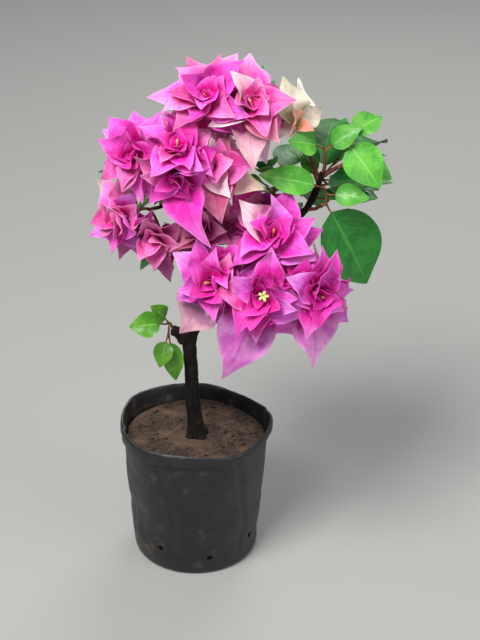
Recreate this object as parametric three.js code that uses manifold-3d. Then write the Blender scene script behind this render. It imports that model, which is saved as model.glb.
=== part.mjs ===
// A young double-bracted bougainvillea in a black nursery bag, at real size: millimetres, degrees, +Z up.
// The origin is the centre of the bag's flat underside, and the blooms face -Y.
// The cut-back stem stands on the soil. Its one live shoot forks into boughs, and each bough ends just
// short of a mass: a cluster of bract heads or a spray of leaves, every mass one fused solid.
import * as THREE from "three";
import { mergeVertices } from "three/addons/utils/BufferGeometryUtils.js";
import Module from "manifold-3d";

const wasm = await Module();
wasm.setup();

// Clearance between two solids that meet
const joinGap = 0.3;

// The bag is thin film: a tapered round bag with shallow upright folds and an uneven turned-over lip
const bag = {
  height: 120,
  footRadius: 52,
  rimRadius: 61,
  wall: 1.5,
  floor: 2,
  cornerRadius: 5,
  lipOut: 2.2,
  lipDrop: 7,
  foldDepth: 1.3,
  foldCount: 5,
  rimRise: 2.6,
  sides: 36,
};

// The soil fills the bag to below its rim and is level round the stem
const soil = { top: 105, levelRadius: 14, lumpHeight: 1.6 };

const groundLevel = soil.top + joinGap;

// Woody parts. Each runs through its points and tapers evenly through its radii.
const limbs = {
  trunk: {
    points: [[2, 0, groundLevel], [1, 0, 118], [-1, 0, 140], [-1.5, 0, 165], [-3, 1, 190], [-6, 1, 203]],
    radii: [9.2, 6.5, 5.9, 5.6, 5.6, 5.2],
    sides: 10,
    steps: 10,
  },
  leader: {
    points: [[-2, 1, 188], [4, 3, 214], [9, 5, 246], [13, 7, 276], [17, 8, 310]],
    radii: [4, 3.6, 3.3, 3.1, 2.8],
    sides: 8,
    steps: 10,
  },
  bough_left: {
    points: [[17, 8, 306], [8, 8, 315], [-8, 4, 322], [-22, 0, 330]],
    radii: [2.5, 2.2, 2, 1.8],
    sides: 7,
    steps: 6,
  },
  bough_low_left: {
    points: [[0, 6.5, 318], [-12, 8, 314], [-26, 8, 309]],
    radii: [1.8, 1.7, 1.5],
    sides: 6,
    steps: 4,
  },
  bough_top: {
    points: [[17, 8, 309], [21, 11, 334], [22, 12, 360], [20, 10, 383]],
    radii: [2.6, 2.3, 2.1, 1.8],
    sides: 7,
    steps: 7,
  },
  bough_middle: {
    points: [[21.5, 11, 338], [21, 4, 344], [19, -1, 347]],
    radii: [1.7, 1.5, 1.4],
    sides: 6,
    steps: 3,
  },
  bough_right: {
    points: [[10, 6, 256], [24, 5, 268], [44, 4, 276], [62, 3, 286], [78, 2, 299], [91, 1, 314], [101, 2, 341]],
    radii: [3.1, 3, 2.9, 2.9, 2.8, 2.7, 2.3],
    sides: 8,
    steps: 14,
  },
  bough_front: {
    points: [[41, 4, 274.5], [46, -8, 274], [50, -22, 274]],
    radii: [2.4, 2.2, 2],
    sides: 6,
    steps: 4,
  },
  bough_centre: {
    points: [[12.5, 7, 272], [14, 0, 281], [15, -4, 289]],
    radii: [1.8, 1.6, 1.5],
    sides: 6,
    steps: 3,
  },
  bough_back: {
    points: [[14, 7.5, 284], [12, 22, 300], [6, 36, 320]],
    radii: [2.3, 2, 1.7],
    sides: 6,
    steps: 5,
  },
  bough_back_right: {
    points: [[59, 3, 284.5], [58, 17, 282], [54, 33, 274]],
    radii: [2, 1.8, 1.6],
    sides: 6,
    steps: 4,
  },
  stalk_upper_right: {
    points: [[98.5, 2, 333], [90, 1, 356], [81, 0, 370]],
    radii: [1.5, 1.3, 1.2],
    sides: 6,
    steps: 4,
  },
  shoot_right: {
    points: [[100.5, 2, 338], [111, 3, 344], [122, 4, 349]],
    radii: [1.9, 1.7, 1.5],
    sides: 6,
    steps: 4,
  },
  shoot_low_right: {
    points: [[88, 1, 311], [96, -1, 312], [100, -3, 316]],
    radii: [1.5, 1.4, 1.3],
    sides: 6,
    steps: 3,
  },
  shoot_left: {
    points: [[-12, 1, 202], [-15, 0, 206], [-17, -1, 210]],
    radii: [1.3, 1.2, 1],
    sides: 6,
    steps: 3,
  },
};

// The stub is what is left of the old top above the live shoot: a thick slanting end with a flat cut
const stub = {
  points: [[-6, 1, 195], [-10, 1, 201], [-16, 0, 205]],
  radii: [5.2, 5, 4.4],
  sides: 10,
  steps: 4,
};

// Each limb's base is cut clear of the limb it grows from
const parents = {
  leader: "trunk",
  bough_left: "leader",
  bough_low_left: "bough_left",
  bough_top: "leader",
  bough_middle: "bough_top",
  bough_right: "leader",
  bough_front: "bough_right",
  bough_centre: "leader",
  bough_back: "leader",
  bough_back_right: "bough_right",
  stalk_upper_right: "bough_right",
  shoot_right: "bough_right",
  shoot_low_right: "bough_right",
  shoot_left: "trunk",
};

// A bract head: outer bracts under a few rosettes of smaller ones. face is the way it looks, as azimuth from
// -Y towards +X and elevation, and size scales its rosettes. Each outer bract is its clock angle seen from
// the front, how far it opens from the head's axis, its length and its width.
const clusters = {
  bloom_front: {
    bough: "bough_front",
    seed: 3,
    heads: [
      {
        at: [54, -46, 262],
        face: [-2, 18],
        rosettes: 1,
        turn: 0,
        size: 1.2,
        outer: [
          [202, 80, 71, 44],
          [142, 94, 45, 30],
          [174, 98, 38, 26],
          [234, 96, 38, 28],
          [302, 92, 38, 28],
          [350, 90, 40, 30],
          [44, 92, 40, 28],
          [94, 96, 38, 26],
        ],
      },
      {
        at: [24, -34, 268],
        face: [-30, 12],
        rosettes: 1,
        turn: 70,
        size: 1.15,
        outer: [
          [304, 46, 42, 34],
          [236, 96, 40, 28],
          [206, 98, 52, 30],
          [212, 74, 56, 42],
          [322, 94, 34, 26],
          [262, 106, 40, 26],
          [170, 92, 36, 26],
          [96, 92, 38, 28],
        ],
      },
      {
        at: [90, -40, 262],
        face: [26, 14],
        rosettes: 1,
        turn: 150,
        size: 1.1,
        outer: [
          [108, 80, 38, 26],
          [142, 82, 46, 32],
          [72, 96, 36, 26],
          [180, 80, 61, 36],
          [38, 94, 37, 26],
          [0, 98, 34, 26],
          [222, 94, 36, 26],
          [318, 92, 36, 26],
        ],
      },
      {
        at: [62, -26, 296],
        face: [4, 44],
        rosettes: 1,
        turn: 110,
        size: 1.2,
        outer: [
          [10, 92, 38, 28],
          [82, 96, 40, 28],
          [318, 40, 42, 34],
          [46, 100, 38, 26],
          [284, 92, 36, 26],
          [232, 96, 34, 24],
        ],
      },
    ],
  },
  bloom_centre: {
    bough: "bough_centre",
    seed: 12,
    heads: [
      {
        at: [12, -6, 297],
        face: [-14, 34],
        rosettes: 1,
        turn: 20,
        size: 0.95,
        outer: [[8, 98, 27, 22], [236, 96, 30, 22], [300, 92, 26, 20], [74, 96, 28, 22]],
      },
    ],
  },
  bloom_left: {
    bough: "bough_left",
    seed: 3,
    heads: [
      {
        at: [-10, -26, 362],
        face: [6, 20],
        rosettes: 2,
        turn: 10,
        size: 1.1,
        outer: [
          [22, 96, 40, 32],
          [122, 90, 32, 24],
          [170, 70, 66, 32],
          [220, 88, 34, 26],
          [68, 94, 32, 24],
          [322, 92, 32, 24],
        ],
      },
      {
        at: [-33, -12, 361],
        face: [-30, 24],
        rosettes: 1,
        turn: 60,
        size: 1.2,
        outer: [
          [322, 96, 40, 26],
          [288, 66, 37, 24],
          [250, 84, 38, 24],
          [216, 96, 36, 26],
          [4, 92, 34, 24],
          [176, 92, 32, 24],
        ],
      },
    ],
  },
  bloom_low_left: {
    bough: "bough_low_left",
    seed: 14,
    heads: [
      {
        at: [-42, 4, 307],
        face: [-46, 0],
        rosettes: 1,
        turn: 60,
        size: 1.15,
        outer: [
          [250, 60, 42, 28],
          [232, 60, 45, 24],
          [306, 60, 38, 32],
          [200, 62, 46, 22],
          [334, 70, 38, 30],
          [176, 84, 36, 24],
        ],
      },
      {
        at: [-24, -4, 298],
        face: [-12, -10],
        rosettes: 1,
        turn: 90,
        size: 1.1,
        outer: [[178, 80, 52, 26], [146, 86, 38, 24], [212, 84, 42, 24], [90, 90, 30, 24]],
      },
    ],
  },
  bloom_middle: {
    bough: "bough_middle",
    seed: 5,
    heads: [
      {
        at: [16, -12, 350],
        face: [4, 28],
        rosettes: 1,
        turn: 80,
        size: 1.2,
        outer: [
          [120, 62, 42, 26],
          [338, 96, 36, 28],
          [26, 98, 36, 28],
          [222, 94, 32, 24],
          [168, 92, 36, 26],
          [76, 96, 34, 26],
        ],
      },
    ],
  },
  bloom_top: {
    bough: "bough_top",
    seed: 6,
    heads: [
      {
        at: [16, 0, 398],
        face: [-8, 38],
        rosettes: 1,
        turn: 15,
        size: 1.25,
        outer: [
          [278, 80, 46, 28],
          [334, 96, 41, 28],
          [22, 92, 46, 28],
          [240, 92, 36, 26],
          [184, 90, 40, 28],
          [130, 94, 36, 26],
          [62, 98, 38, 26],
        ],
      },
      {
        at: [42, -2, 394],
        face: [18, 34],
        rosettes: 1,
        turn: 60,
        size: 1.2,
        outer: [
          [30, 96, 40, 26],
          [80, 96, 41, 28],
          [112, 92, 38, 26],
          [190, 64, 50, 28],
          [152, 98, 42, 26],
          [340, 90, 34, 24],
        ],
      },
    ],
  },
  young_bracts: {
    bough: "stalk_upper_right",
    seed: 17,
    heads: [
      {
        at: [79, 1, 380],
        face: [30, 30],
        rosettes: 0,
        turn: 60,
        size: 0.7,
        outer: [
          [352, 64, 36, 27],
          [34, 76, 36, 25],
          [76, 84, 27, 18],
          [330, 24, 22, 14],
          [150, 20, 18, 12],
          [180, 80, 22, 15],
          [286, 96, 24, 16],
        ],
      },
    ],
  },
  bloom_back: {
    bough: "bough_back",
    seed: 7,
    heads: [
      {
        at: [-2, 46, 340],
        face: [198, 24],
        rosettes: 2,
        turn: 0,
        size: 1.2,
        outer: [
          [30, 96, 44, 30],
          [92, 94, 40, 28],
          [150, 92, 50, 30],
          [212, 94, 46, 28],
          [270, 96, 42, 30],
          [326, 98, 38, 28],
        ],
      },
    ],
  },
  bloom_back_right: {
    bough: "bough_back_right",
    seed: 9,
    heads: [
      {
        at: [54, 50, 270],
        face: [158, 14],
        rosettes: 2,
        turn: 45,
        size: 1.2,
        outer: [
          [70, 94, 42, 28],
          [120, 94, 40, 26],
          [168, 90, 50, 30],
          [222, 94, 44, 28],
          [286, 96, 38, 26],
        ],
      },
    ],
  },
};

// Leaf sprays. Each leaf leaves the stem at a share of its length, aimed by azimuth and elevation.
const sprays = {
  leaves_right: {
    bough: "shoot_right",
    stem: [[122, 3, 353], [116, 0, 370]],
    leaves: [
      { share: 1, aim: [50, -40], length: 38, width: 31, roll: 40 },
      { share: 1, aim: [116, 24], length: 28, width: 20, roll: 40 },
      { share: 0.1, aim: [84, -24], length: 30, width: 18, roll: 50 },
      { share: 0.2, aim: [150, 0], length: 48, width: 32, roll: 0 },
    ],
  },
  leaves_top_right: {
    bough: "bough_right",
    stem: [[102, 1, 348], [101, 0, 362]],
    leaves: [
      { share: 1, aim: [-56, 26], length: 28, width: 24, roll: -60 },
      { share: 0.8, aim: [80, 40], length: 26, width: 18, roll: 60 },
      { share: 0.6, aim: [168, 20], length: 46, width: 32, roll: 0 },
    ],
  },
  leaves_low_right: {
    bough: "shoot_low_right",
    stem: [[104, -3, 317], [102, -8, 333]],
    leaves: [
      { share: 0, aim: [94, -62], length: 80, width: 52, roll: 66 },
      { share: 0.6, aim: [66, 6], length: 26, width: 18, roll: 50 },
      { share: 1, aim: [-84, 16], length: 42, width: 22, roll: -60 },
      { share: 0.1, aim: [158, -10], length: 46, width: 32, roll: 0 },
    ],
  },
  leaves_left_shoot: {
    bough: "shoot_left",
    stem: [[-18, -3, 213], [-19, -5, 205]],
    leaves: [
      { share: 0, aim: [-75, 4], length: 24, width: 21, roll: -56 },
      { share: 0, aim: [-44, 52], length: 18, width: 15, roll: -80 },
      { share: 1, aim: [26, -70], length: 33, width: 17, roll: 10 },
      { share: 0.9, aim: [-24, -50], length: 21, width: 16, roll: -20 },
    ],
  },
};

// Leafy twigs that fill the back of the crown, where a seeded rule lays the leaves
const fillers = {
  leaves_back_left: { parent: "bough_left", share: 0.4, tip: [-22, 44, 322], leafCount: 6, seed: 11 },
  leaves_back_low: { parent: "leader", share: 0.5, tip: [-12, 36, 276], leafCount: 6, seed: 23 },
  leaves_back_top: { parent: "bough_top", share: 0.6, tip: [32, 42, 366], leafCount: 6, seed: 37 },
  leaves_back_far_right: { parent: "bough_right", share: 0.78, tip: [104, 40, 322], leafCount: 6, seed: 41 },
  leaves_back_right: { parent: "bough_right", share: 0.5, tip: [66, 38, 326], leafCount: 5, seed: 53 },
};

const colours = {
  bag: 0x15161a,
  soil: 0x3b2a20,
  bark: 0x35241f,
  youngStem: 0x6b3a2c,
  bract: 0xe63db0,
  leaf: 0x3f8f2b,
  limeLeaf: 0x8ccb2c,
};

function seeded(seed) {
  let state = seed >>> 0;
  return () => {
    state = (Math.imul(state, 1664525) + 1013904223) >>> 0;
    return state / 4294967296;
  };
}

const radians = (degrees) => (degrees * Math.PI) / 180;
const vector = (numbers) => new THREE.Vector3(...numbers);

// The way an azimuth and elevation point: azimuth 0 is -Y, 90 is +X
function wayOf([azimuth, elevation]) {
  const level = Math.cos(radians(elevation));
  return new THREE.Vector3(
    Math.sin(radians(azimuth)) * level,
    -Math.cos(radians(azimuth)) * level,
    Math.sin(radians(elevation)),
  );
}

function solidOf(geometry) {
  const bare = geometry.clone();
  bare.deleteAttribute("normal");
  bare.deleteAttribute("uv");
  const merged = mergeVertices(bare, 1e-4);
  return new wasm.Manifold(
    new wasm.Mesh({
      numProp: 3,
      vertProperties: new Float32Array(merged.attributes.position.array),
      triVerts: new Uint32Array(merged.index.array),
    }),
  );
}

function meshOf(name, solid, colour, roughness) {
  const { numProp, vertProperties, triVerts } = solid.getMesh();
  const places = new Float32Array((vertProperties.length / numProp) * 3);
  for (let i = 0; i < places.length / 3; i++) {
    places.set(vertProperties.subarray(i * numProp, i * numProp + 3), i * 3);
  }
  const geometry = new THREE.BufferGeometry();
  geometry.setAttribute("position", new THREE.BufferAttribute(places, 3));
  geometry.setIndex(new THREE.BufferAttribute(new Uint32Array(triVerts), 1));
  geometry.computeVertexNormals();
  const material = new THREE.MeshStandardMaterial({ color: colour, roughness, metalness: 0 });
  const mesh = new THREE.Mesh(geometry, material);
  mesh.name = name;
  return mesh;
}

// Edges shorter than this are closed up after pieces are joined
const shortEdge = 0.03;

// Joins pieces into one body and drops any scrap that hangs loose from it
function fused(pieces) {
  const bodies = wasm.Manifold.union(pieces).simplify(shortEdge).decompose();
  return bodies.reduce((most, body) => (body.volume() > most.volume() ? body : most));
}

// The bag and its soil

// Moves a round geometry to the film's soft shape, the same for the bag and for what fills it
function softened(geometry) {
  const place = geometry.attributes.position;
  for (let i = 0; i < place.count; i++) {
    const [x, y, z] = [place.getX(i), place.getY(i), place.getZ(i)];
    const angle = Math.atan2(y, x);
    const rise = z / bag.height;
    const fold = Math.sin(bag.foldCount * angle + 0.7) + 0.6 * Math.sin(3 * angle + 2 * rise);
    const out = 1 + (rise * bag.foldDepth * fold) / bag.rimRadius;
    const lip = THREE.MathUtils.smoothstep(z, bag.height - 3 * bag.lipDrop / 2, bag.height);
    const wave = Math.sin(angle - 2.2) + 0.5 * Math.sin(3 * angle + 1);
    place.setXYZ(i, x * out, y * out, z + lip * bag.rimRise * wave);
  }
  return geometry;
}

function turned(profile, sides) {
  const points = profile.map(([radius, z]) => new THREE.Vector2(radius, z));
  return new THREE.LatheGeometry(points, sides).rotateX(Math.PI / 2);
}

const wallRadius = (z) => THREE.MathUtils.lerp(bag.footRadius, bag.rimRadius, z / bag.height);

function bagSolid() {
  const inner = (z) => wallRadius(z) - bag.wall;
  const top = bag.height;
  const bend = bag.cornerRadius;
  const profile = [
    [0, 0],
    [bag.footRadius - bend, 0],
    [bag.footRadius - bend / 4, bend / 4],
    [wallRadius(bend), bend],
    [wallRadius(top * 0.5), top * 0.5],
    [wallRadius(top - bag.lipDrop), top - bag.lipDrop],
    [wallRadius(top - bag.lipDrop) + bag.lipOut * 0.7, top - bag.lipDrop + 1],
    [wallRadius(top) + bag.lipOut * 0.8, top - 2],
    [wallRadius(top) + bag.lipOut * 0.4, top],
    [inner(top), top - 0.6],
    [inner(top - bag.lipDrop), top - bag.lipDrop],
    [inner(top * 0.5), top * 0.5],
    [inner(bend) - 2, bag.floor + 1.5],
    [0, bag.floor],
  ];
  return solidOf(softened(turned(profile, bag.sides)));
}

function soilSolid() {
  const edge = (z) => wallRadius(z) - bag.wall - joinGap;
  const low = bag.floor + joinGap;
  const { top } = soil;
  const profile = [
    [0, low],
    [edge(bag.cornerRadius) - 3, low + 1.7],
    [edge(bag.height * 0.5) - joinGap, bag.height * 0.5],
    [edge(top) - joinGap, top - 3],
    [edge(top) - 5, top - 0.5],
    [bag.footRadius * 0.6, top],
    [soil.levelRadius, top],
    [0, top],
  ];
  const geometry = softened(turned(profile, bag.sides));
  const place = geometry.attributes.position;
  for (let i = 0; i < place.count; i++) {
    const [x, y] = [place.getX(i), place.getY(i)];
    const reach = Math.hypot(x, y) - soil.levelRadius;
    if (place.getZ(i) < top - 1 || reach < 1) continue;
    const lumps = Math.sin(x * 0.31 + 1) * Math.sin(y * 0.27) + 0.5 * Math.sin(x * 0.7 + y * 0.5);
    place.setZ(i, place.getZ(i) + soil.lumpHeight * 0.5 * (lumps - 1) * Math.min(1, reach / 10));
  }
  return solidOf(geometry);
}

// Woody parts

function limbSolid({ points, radii, sides, steps }, grown = 0) {
  const curve = new THREE.CatmullRomCurve3(points.map(vector));
  const { normals, binormals } = curve.computeFrenetFrames(steps);
  const geometry = new THREE.CylinderGeometry(1, 1, 1, sides, steps);
  const place = geometry.attributes.position;
  for (let i = 0; i < place.count; i++) {
    const share = place.getY(i) + 0.5;
    const step = Math.round(share * steps);
    const part = share * (radii.length - 1);
    const low = Math.min(Math.floor(part), radii.length - 2);
    const radius = THREE.MathUtils.lerp(radii[low], radii[low + 1], part - low) + grown;
    const spot = curve.getPoint(share);
    spot.addScaledVector(normals[step], place.getX(i) * radius);
    spot.addScaledVector(binormals[step], -place.getZ(i) * radius);
    place.setXYZ(i, spot.x, spot.y, spot.z);
  }
  return solidOf(geometry);
}

function limbPoint(name, share) {
  return new THREE.CatmullRomCurve3(limbs[name].points.map(vector)).getPoint(share);
}

function trunkSolid(grown = 0) {
  const body = limbSolid(limbs.trunk, grown).add(limbSolid(stub, grown));
  if (grown) return body;
  // A box below ground level trims the foot to one flat cut
  const room = new THREE.BoxGeometry(60, 60, 20).translate(0, 0, groundLevel - 10);
  return body.subtract(solidOf(room));
}

const grownLimb = (name, grown) => (name === "trunk" ? trunkSolid(grown) : limbSolid(limbs[name], grown));

function woodyParts() {
  const made = new Map([["trunk", trunkSolid()]]);
  for (const [name, parent] of Object.entries(parents)) {
    let solid = limbSolid(limbs[name]).subtract(grownLimb(parent, joinGap));
    for (const [other, there] of made) {
      if (other !== parent && solid.minGap(there, joinGap) < joinGap) {
        solid = solid.subtract(grownLimb(other, joinGap));
      }
    }
    made.set(name, fused([solid]));
  }
  return made;
}

const wood = woodyParts();

// Blades: bracts and leaves

// Half the width of a blade at a share of its length: full near the foot, drawn out to a point
function outline(share, widest, point) {
  const rise = (widest / (1 - widest)) * point;
  const most = widest ** rise * (1 - widest) ** point;
  return (share ** rise * (1 - share) ** point) / most / 2;
}

// rim lists the shares of the length at which the edge has a corner. A roaming blade is one laid by hand,
// which may reach out of its mass's space.
const shapes = {
  outer: { rim: [0.26, 0.6], widest: 0.36, point: 1.3, cup: 0.26, arch: 0.18, thickness: 0.03, roams: true },
  bract: { rim: [0.3, 0.62], widest: 0.4, point: 1.1, cup: 0.34, arch: 0.12, thickness: 0.04 },
  inner: { rim: [0.44], widest: 0.42, point: 0.85, cup: 0.34, arch: 0.1, thickness: 0.04 },
  leaf: { rim: [0.2, 0.56], widest: 0.38, point: 0.8, cup: 0.24, arch: 0.22, thickness: 0.022, roams: true },
  backLeaf: { rim: [0.2, 0.56], widest: 0.38, point: 0.8, cup: 0.24, arch: 0.22, thickness: 0.022 },
};

// A place on a blade: its share along the length, and across from -1 to 1
function bladePoint(blade, shape, share, across) {
  const half = blade.width * outline(share, shape.widest, shape.point) * across;
  const lift = shape.cup * Math.abs(half) - shape.arch * blade.length * share * share;
  return blade.foot
    .clone()
    .addScaledVector(blade.along, share * blade.length)
    .addScaledVector(blade.side, half)
    .addScaledVector(blade.up, lift);
}

function rimPoints(blade, shape) {
  const back = [...shape.rim].reverse();
  return [
    bladePoint(blade, shape, 0, 0),
    ...shape.rim.map((share) => bladePoint(blade, shape, share, 1)),
    bladePoint(blade, shape, 1, 0),
    ...back.map((share) => bladePoint(blade, shape, share, -1)),
  ];
}

// Two shallow fans of triangles share the rim, one to a point above the blade and one to a point below it
function bladeSolid(blade, shape) {
  const rim = rimPoints(blade, shape);
  const middle = bladePoint(blade, shape, shape.widest, 0);
  const half = Math.max(0.4, blade.length * shape.thickness) / 2;
  const above = middle.clone().addScaledVector(blade.up, half);
  const below = middle.clone().addScaledVector(blade.up, -half);
  const corners = rim.flatMap((point, i) => {
    const next = rim[(i + 1) % rim.length];
    return [point, next, above, next, point, below];
  });
  const geometry = new THREE.BufferGeometry().setFromPoints(corners);
  return solidOf(geometry);
}

// A blade that leaves an axis: at 0 degrees open it lies along the axis, at 90 it lies flat under it
function bladeAbout(foot, axis, radial, open, length, width, roll = 0) {
  const along = axis.clone().multiplyScalar(Math.cos(radians(open)));
  along.addScaledVector(radial, Math.sin(radians(open)));
  const up = axis.clone().multiplyScalar(Math.sin(radians(open)));
  up.addScaledVector(radial, -Math.cos(radians(open)));
  up.applyAxisAngle(along, radians(roll));
  return { foot, along, up, side: along.clone().cross(up), length, width, axis };
}

// What a clock face sees that looks along an axis: the direction of each angle, clockwise from the top
function clockAbout(axis) {
  const top = new THREE.Vector3(0, 0, 1).addScaledVector(axis, -axis.z).normalize();
  const right = top.clone().cross(axis);
  return (degrees) =>
    top
      .clone()
      .multiplyScalar(Math.cos(radians(degrees)))
      .addScaledVector(right, Math.sin(radians(degrees)));
}

// Spaces: each mass keeps to the points that are nearer to its own centres than to another mass's

const centres = [];
for (const [mass, cluster] of Object.entries(clusters)) {
  for (const head of cluster.heads) centres.push({ mass, at: vector(head.at), reach: 34 });
}
for (const [mass, spray] of Object.entries(sprays)) {
  for (const { aim, length, share } of spray.leaves) {
    const foot = vector(spray.stem[0]).lerp(vector(spray.stem[1]), share);
    centres.push({ mass, at: foot.addScaledVector(wayOf(aim), length * 0.5), reach: length * 0.4 });
  }
}
for (const [mass, filler] of Object.entries(fillers)) {
  centres.push({ mass, at: vector(filler.tip), reach: 34 });
}

// How far past the middle between two spaces a blade may reach
const spaceOverlap = 8;

function inSpace(mass, point) {
  let [own, other] = [Infinity, Infinity];
  for (const centre of centres) {
    const far = Math.sqrt(Math.max(0, point.distanceToSquared(centre.at) + 3600 - centre.reach ** 2));
    if (centre.mass === mass) own = Math.min(own, far);
    else other = Math.min(other, far);
  }
  return own < other + spaceOverlap;
}

const limbPoints = Object.entries(limbs).flatMap(([name, limb]) => {
  const curve = new THREE.CatmullRomCurve3(limb.points.map(vector));
  const radius = Math.max(...limb.radii.slice(1));
  return curve.getPoints(2 * limb.steps).map((at) => ({ name, at, radius }));
});

const clearOfLimbs = (point) => limbPoints.every(({ at, radius }) => point.distanceTo(at) > radius + 1);

function keepsToSpace(mass, blade, shape) {
  const spots = [
    ...rimPoints(blade, shape).slice(1),
    bladePoint(blade, shape, shape.widest, 0),
    bladePoint(blade, shape, (1 + shape.widest) / 2, 0),
  ];
  return spots.every((spot) => (shape.roams || inSpace(mass, spot)) && clearOfLimbs(spot));
}

// The part of a blade beyond its root, which should hang free of its neighbours
function freePart(blade, shape) {
  const root = 0.22;
  const foot = bladePoint(blade, shape, root, 0);
  return bladeSolid({ ...blade, foot, length: blade.length * (1 - root) }, shape);
}

const farFrom = (piece, others, gap) => others.every((other) => piece.minGap(other, gap) >= gap);

// Turns a blade a little either way and shrinks it until it has room, or gives up. taken holds the solids
// that it must stay clear of, free the blades of its own mass.
function fitted(mass, blade, shape, taken, free) {
  for (const scale of [1, 0.86, 0.72]) {
    for (const turn of [0, 16, -16, 32, -32]) {
      const tried = { ...blade, length: blade.length * scale, width: blade.width * scale };
      if (blade.axis) {
        for (const part of ["along", "side", "up"]) {
          tried[part] = blade[part].clone().applyAxisAngle(blade.axis, radians(turn));
        }
      }
      if (!keepsToSpace(mass, tried, shape)) continue;
      const loose = freePart(tried, shape);
      if (!farFrom(loose, free, 0.1)) continue;
      const piece = bladeSolid(tried, shape);
      if (!farFrom(piece, taken, joinGap)) continue;
      free.push(loose);
      return piece;
    }
  }
  return null;
}

// Masses of bloom

const whorls = [
  { count: 4, open: 78, length: 30, width: 21, shape: shapes.bract },
  { count: 3, open: 56, length: 26, width: 19, shape: shapes.bract },
  { count: 3, open: 34, length: 20, width: 15, shape: shapes.inner },
];
const bloom = {
  rosetteTilt: 40,
  rosetteStalk: 10,
  stemRadius: 1.4,
  hubRadius: 3.8,
  footOut: 1.2,
  roll: 16,
};

// Every blade of a head, in the order in which the random numbers are drawn
function headBlades(head, random) {
  const axis = wayOf(head.face);
  const clock = clockAbout(axis);
  const centre = vector(head.at);
  const blades = [];
  const add = (hub, about, radial, open, length, width, shape) => {
    const roll = bloom.roll + 24 * (random() - 0.5);
    const blade = bladeAbout(hub.clone(), about, radial, open, length, width, roll);
    blade.foot.addScaledVector(blade.along, bloom.footOut);
    blades.push({ blade, shape });
  };
  for (const [angle, open, length, width] of head.outer) {
    add(centre, axis, clock(angle), open, length, width, shapes.outer);
  }
  const hubs = [];
  for (let i = 0; i < head.rosettes; i++) {
    const angle = head.turn + (360 / head.rosettes) * i;
    const tilt = radians(head.rosettes > 1 ? bloom.rosetteTilt : 0);
    const about = axis.clone().multiplyScalar(Math.cos(tilt)).addScaledVector(clock(angle), Math.sin(tilt));
    const hub = centre.clone().addScaledVector(about, bloom.rosetteStalk);
    hubs.push(hub);
    const face = clockAbout(about);
    for (const whorl of whorls) {
      const start = 360 * random();
      for (let j = 0; j < whorl.count; j++) {
        const turn = start + (360 / whorl.count) * j + 20 * (random() - 0.5);
        const open = whorl.open + 26 * (random() - 0.5);
        const size = head.size * (0.86 + 0.28 * random());
        add(hub, about, face(turn), open, whorl.length * size, whorl.width * size, whorl.shape);
      }
    }
  }
  return { blades, hubs, centre };
}

function twig(from, to, radius) {
  const points = [from.toArray(), to.toArray()];
  return limbSolid({ points, radii: [radius, radius * 0.85], sides: 3, steps: 1 });
}

const hubSolid = (at, radius) => solidOf(new THREE.OctahedronGeometry(radius).translate(at.x, at.y, at.z));

// A twig from one hub to another that stops inside each of them, short of its centre
function twigBetween(from, to, radius, stop = 1.5) {
  const way = to.clone().sub(from).normalize();
  return twig(from.clone().addScaledVector(way, stop), to.clone().addScaledVector(way, -stop), radius);
}

function clearEnd(name) {
  const end = limbPoint(name, 1);
  const before = limbPoint(name, 0.97);
  const way = end.clone().sub(before).normalize();
  return end.addScaledVector(way, joinGap);
}

// Plans: the core of a mass, which is its twigs and hubs, and the blades still to be laid on it

function bloomPlan([mass, cluster]) {
  const random = seeded(cluster.seed);
  const start = clearEnd(cluster.bough);
  const fork = start.clone().lerp(vector(cluster.heads[0].at), 0.35);
  const core = [twig(start, fork, bloom.stemRadius), hubSolid(fork, bloom.stemRadius * 2)];
  const free = [];
  const heads = cluster.heads.map((head) => headBlades(head, random));
  for (const { hubs, centre } of heads) {
    const twigs = [twigBetween(fork, centre, bloom.stemRadius)];
    for (const hub of hubs) twigs.push(twigBetween(centre, hub, bloom.stemRadius));
    core.push(...twigs, ...[centre, ...hubs].map((hub) => hubSolid(hub, bloom.hubRadius)));
    free.push(...twigs, ...hubs.map((hub) => hubSolid(hub, bloom.hubRadius * 1.5)));
  }
  const blades = heads.flatMap((head) => head.blades);
  return { mass, core, free, blades, colour: colours.bract, roughness: 0.55 };
}

const leafStalk = { length: 9, radius: 0.8 };

function leafAt(node, leaf, shape) {
  const along = wayOf(leaf.aim);
  const top = new THREE.Vector3(0, 0, 1).addScaledVector(along, -along.z).normalize();
  const up = top.applyAxisAngle(along, radians(leaf.roll));
  const foot = node.clone().addScaledVector(along, leafStalk.length - 2);
  const blade = { foot, along, up, side: along.clone().cross(up), length: leaf.length, width: leaf.width };
  const stalk = twig(node, node.clone().addScaledVector(along, leafStalk.length), leafStalk.radius);
  return { blade, shape, stalk };
}

function sprayPlan([mass, spray]) {
  const [low, high] = spray.stem.map(vector);
  const core = [twig(clearEnd(spray.bough), low, 1.1), hubSolid(low, 1.6), twig(low, high, 1)];
  const blades = spray.leaves.map((leaf) => leafAt(low.clone().lerp(high, leaf.share), leaf, shapes.leaf));
  const colour = mass === "leaves_left_shoot" ? colours.limeLeaf : colours.leaf;
  return { mass, core, free: [], blades, colour, roughness: 0.35 };
}

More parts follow.
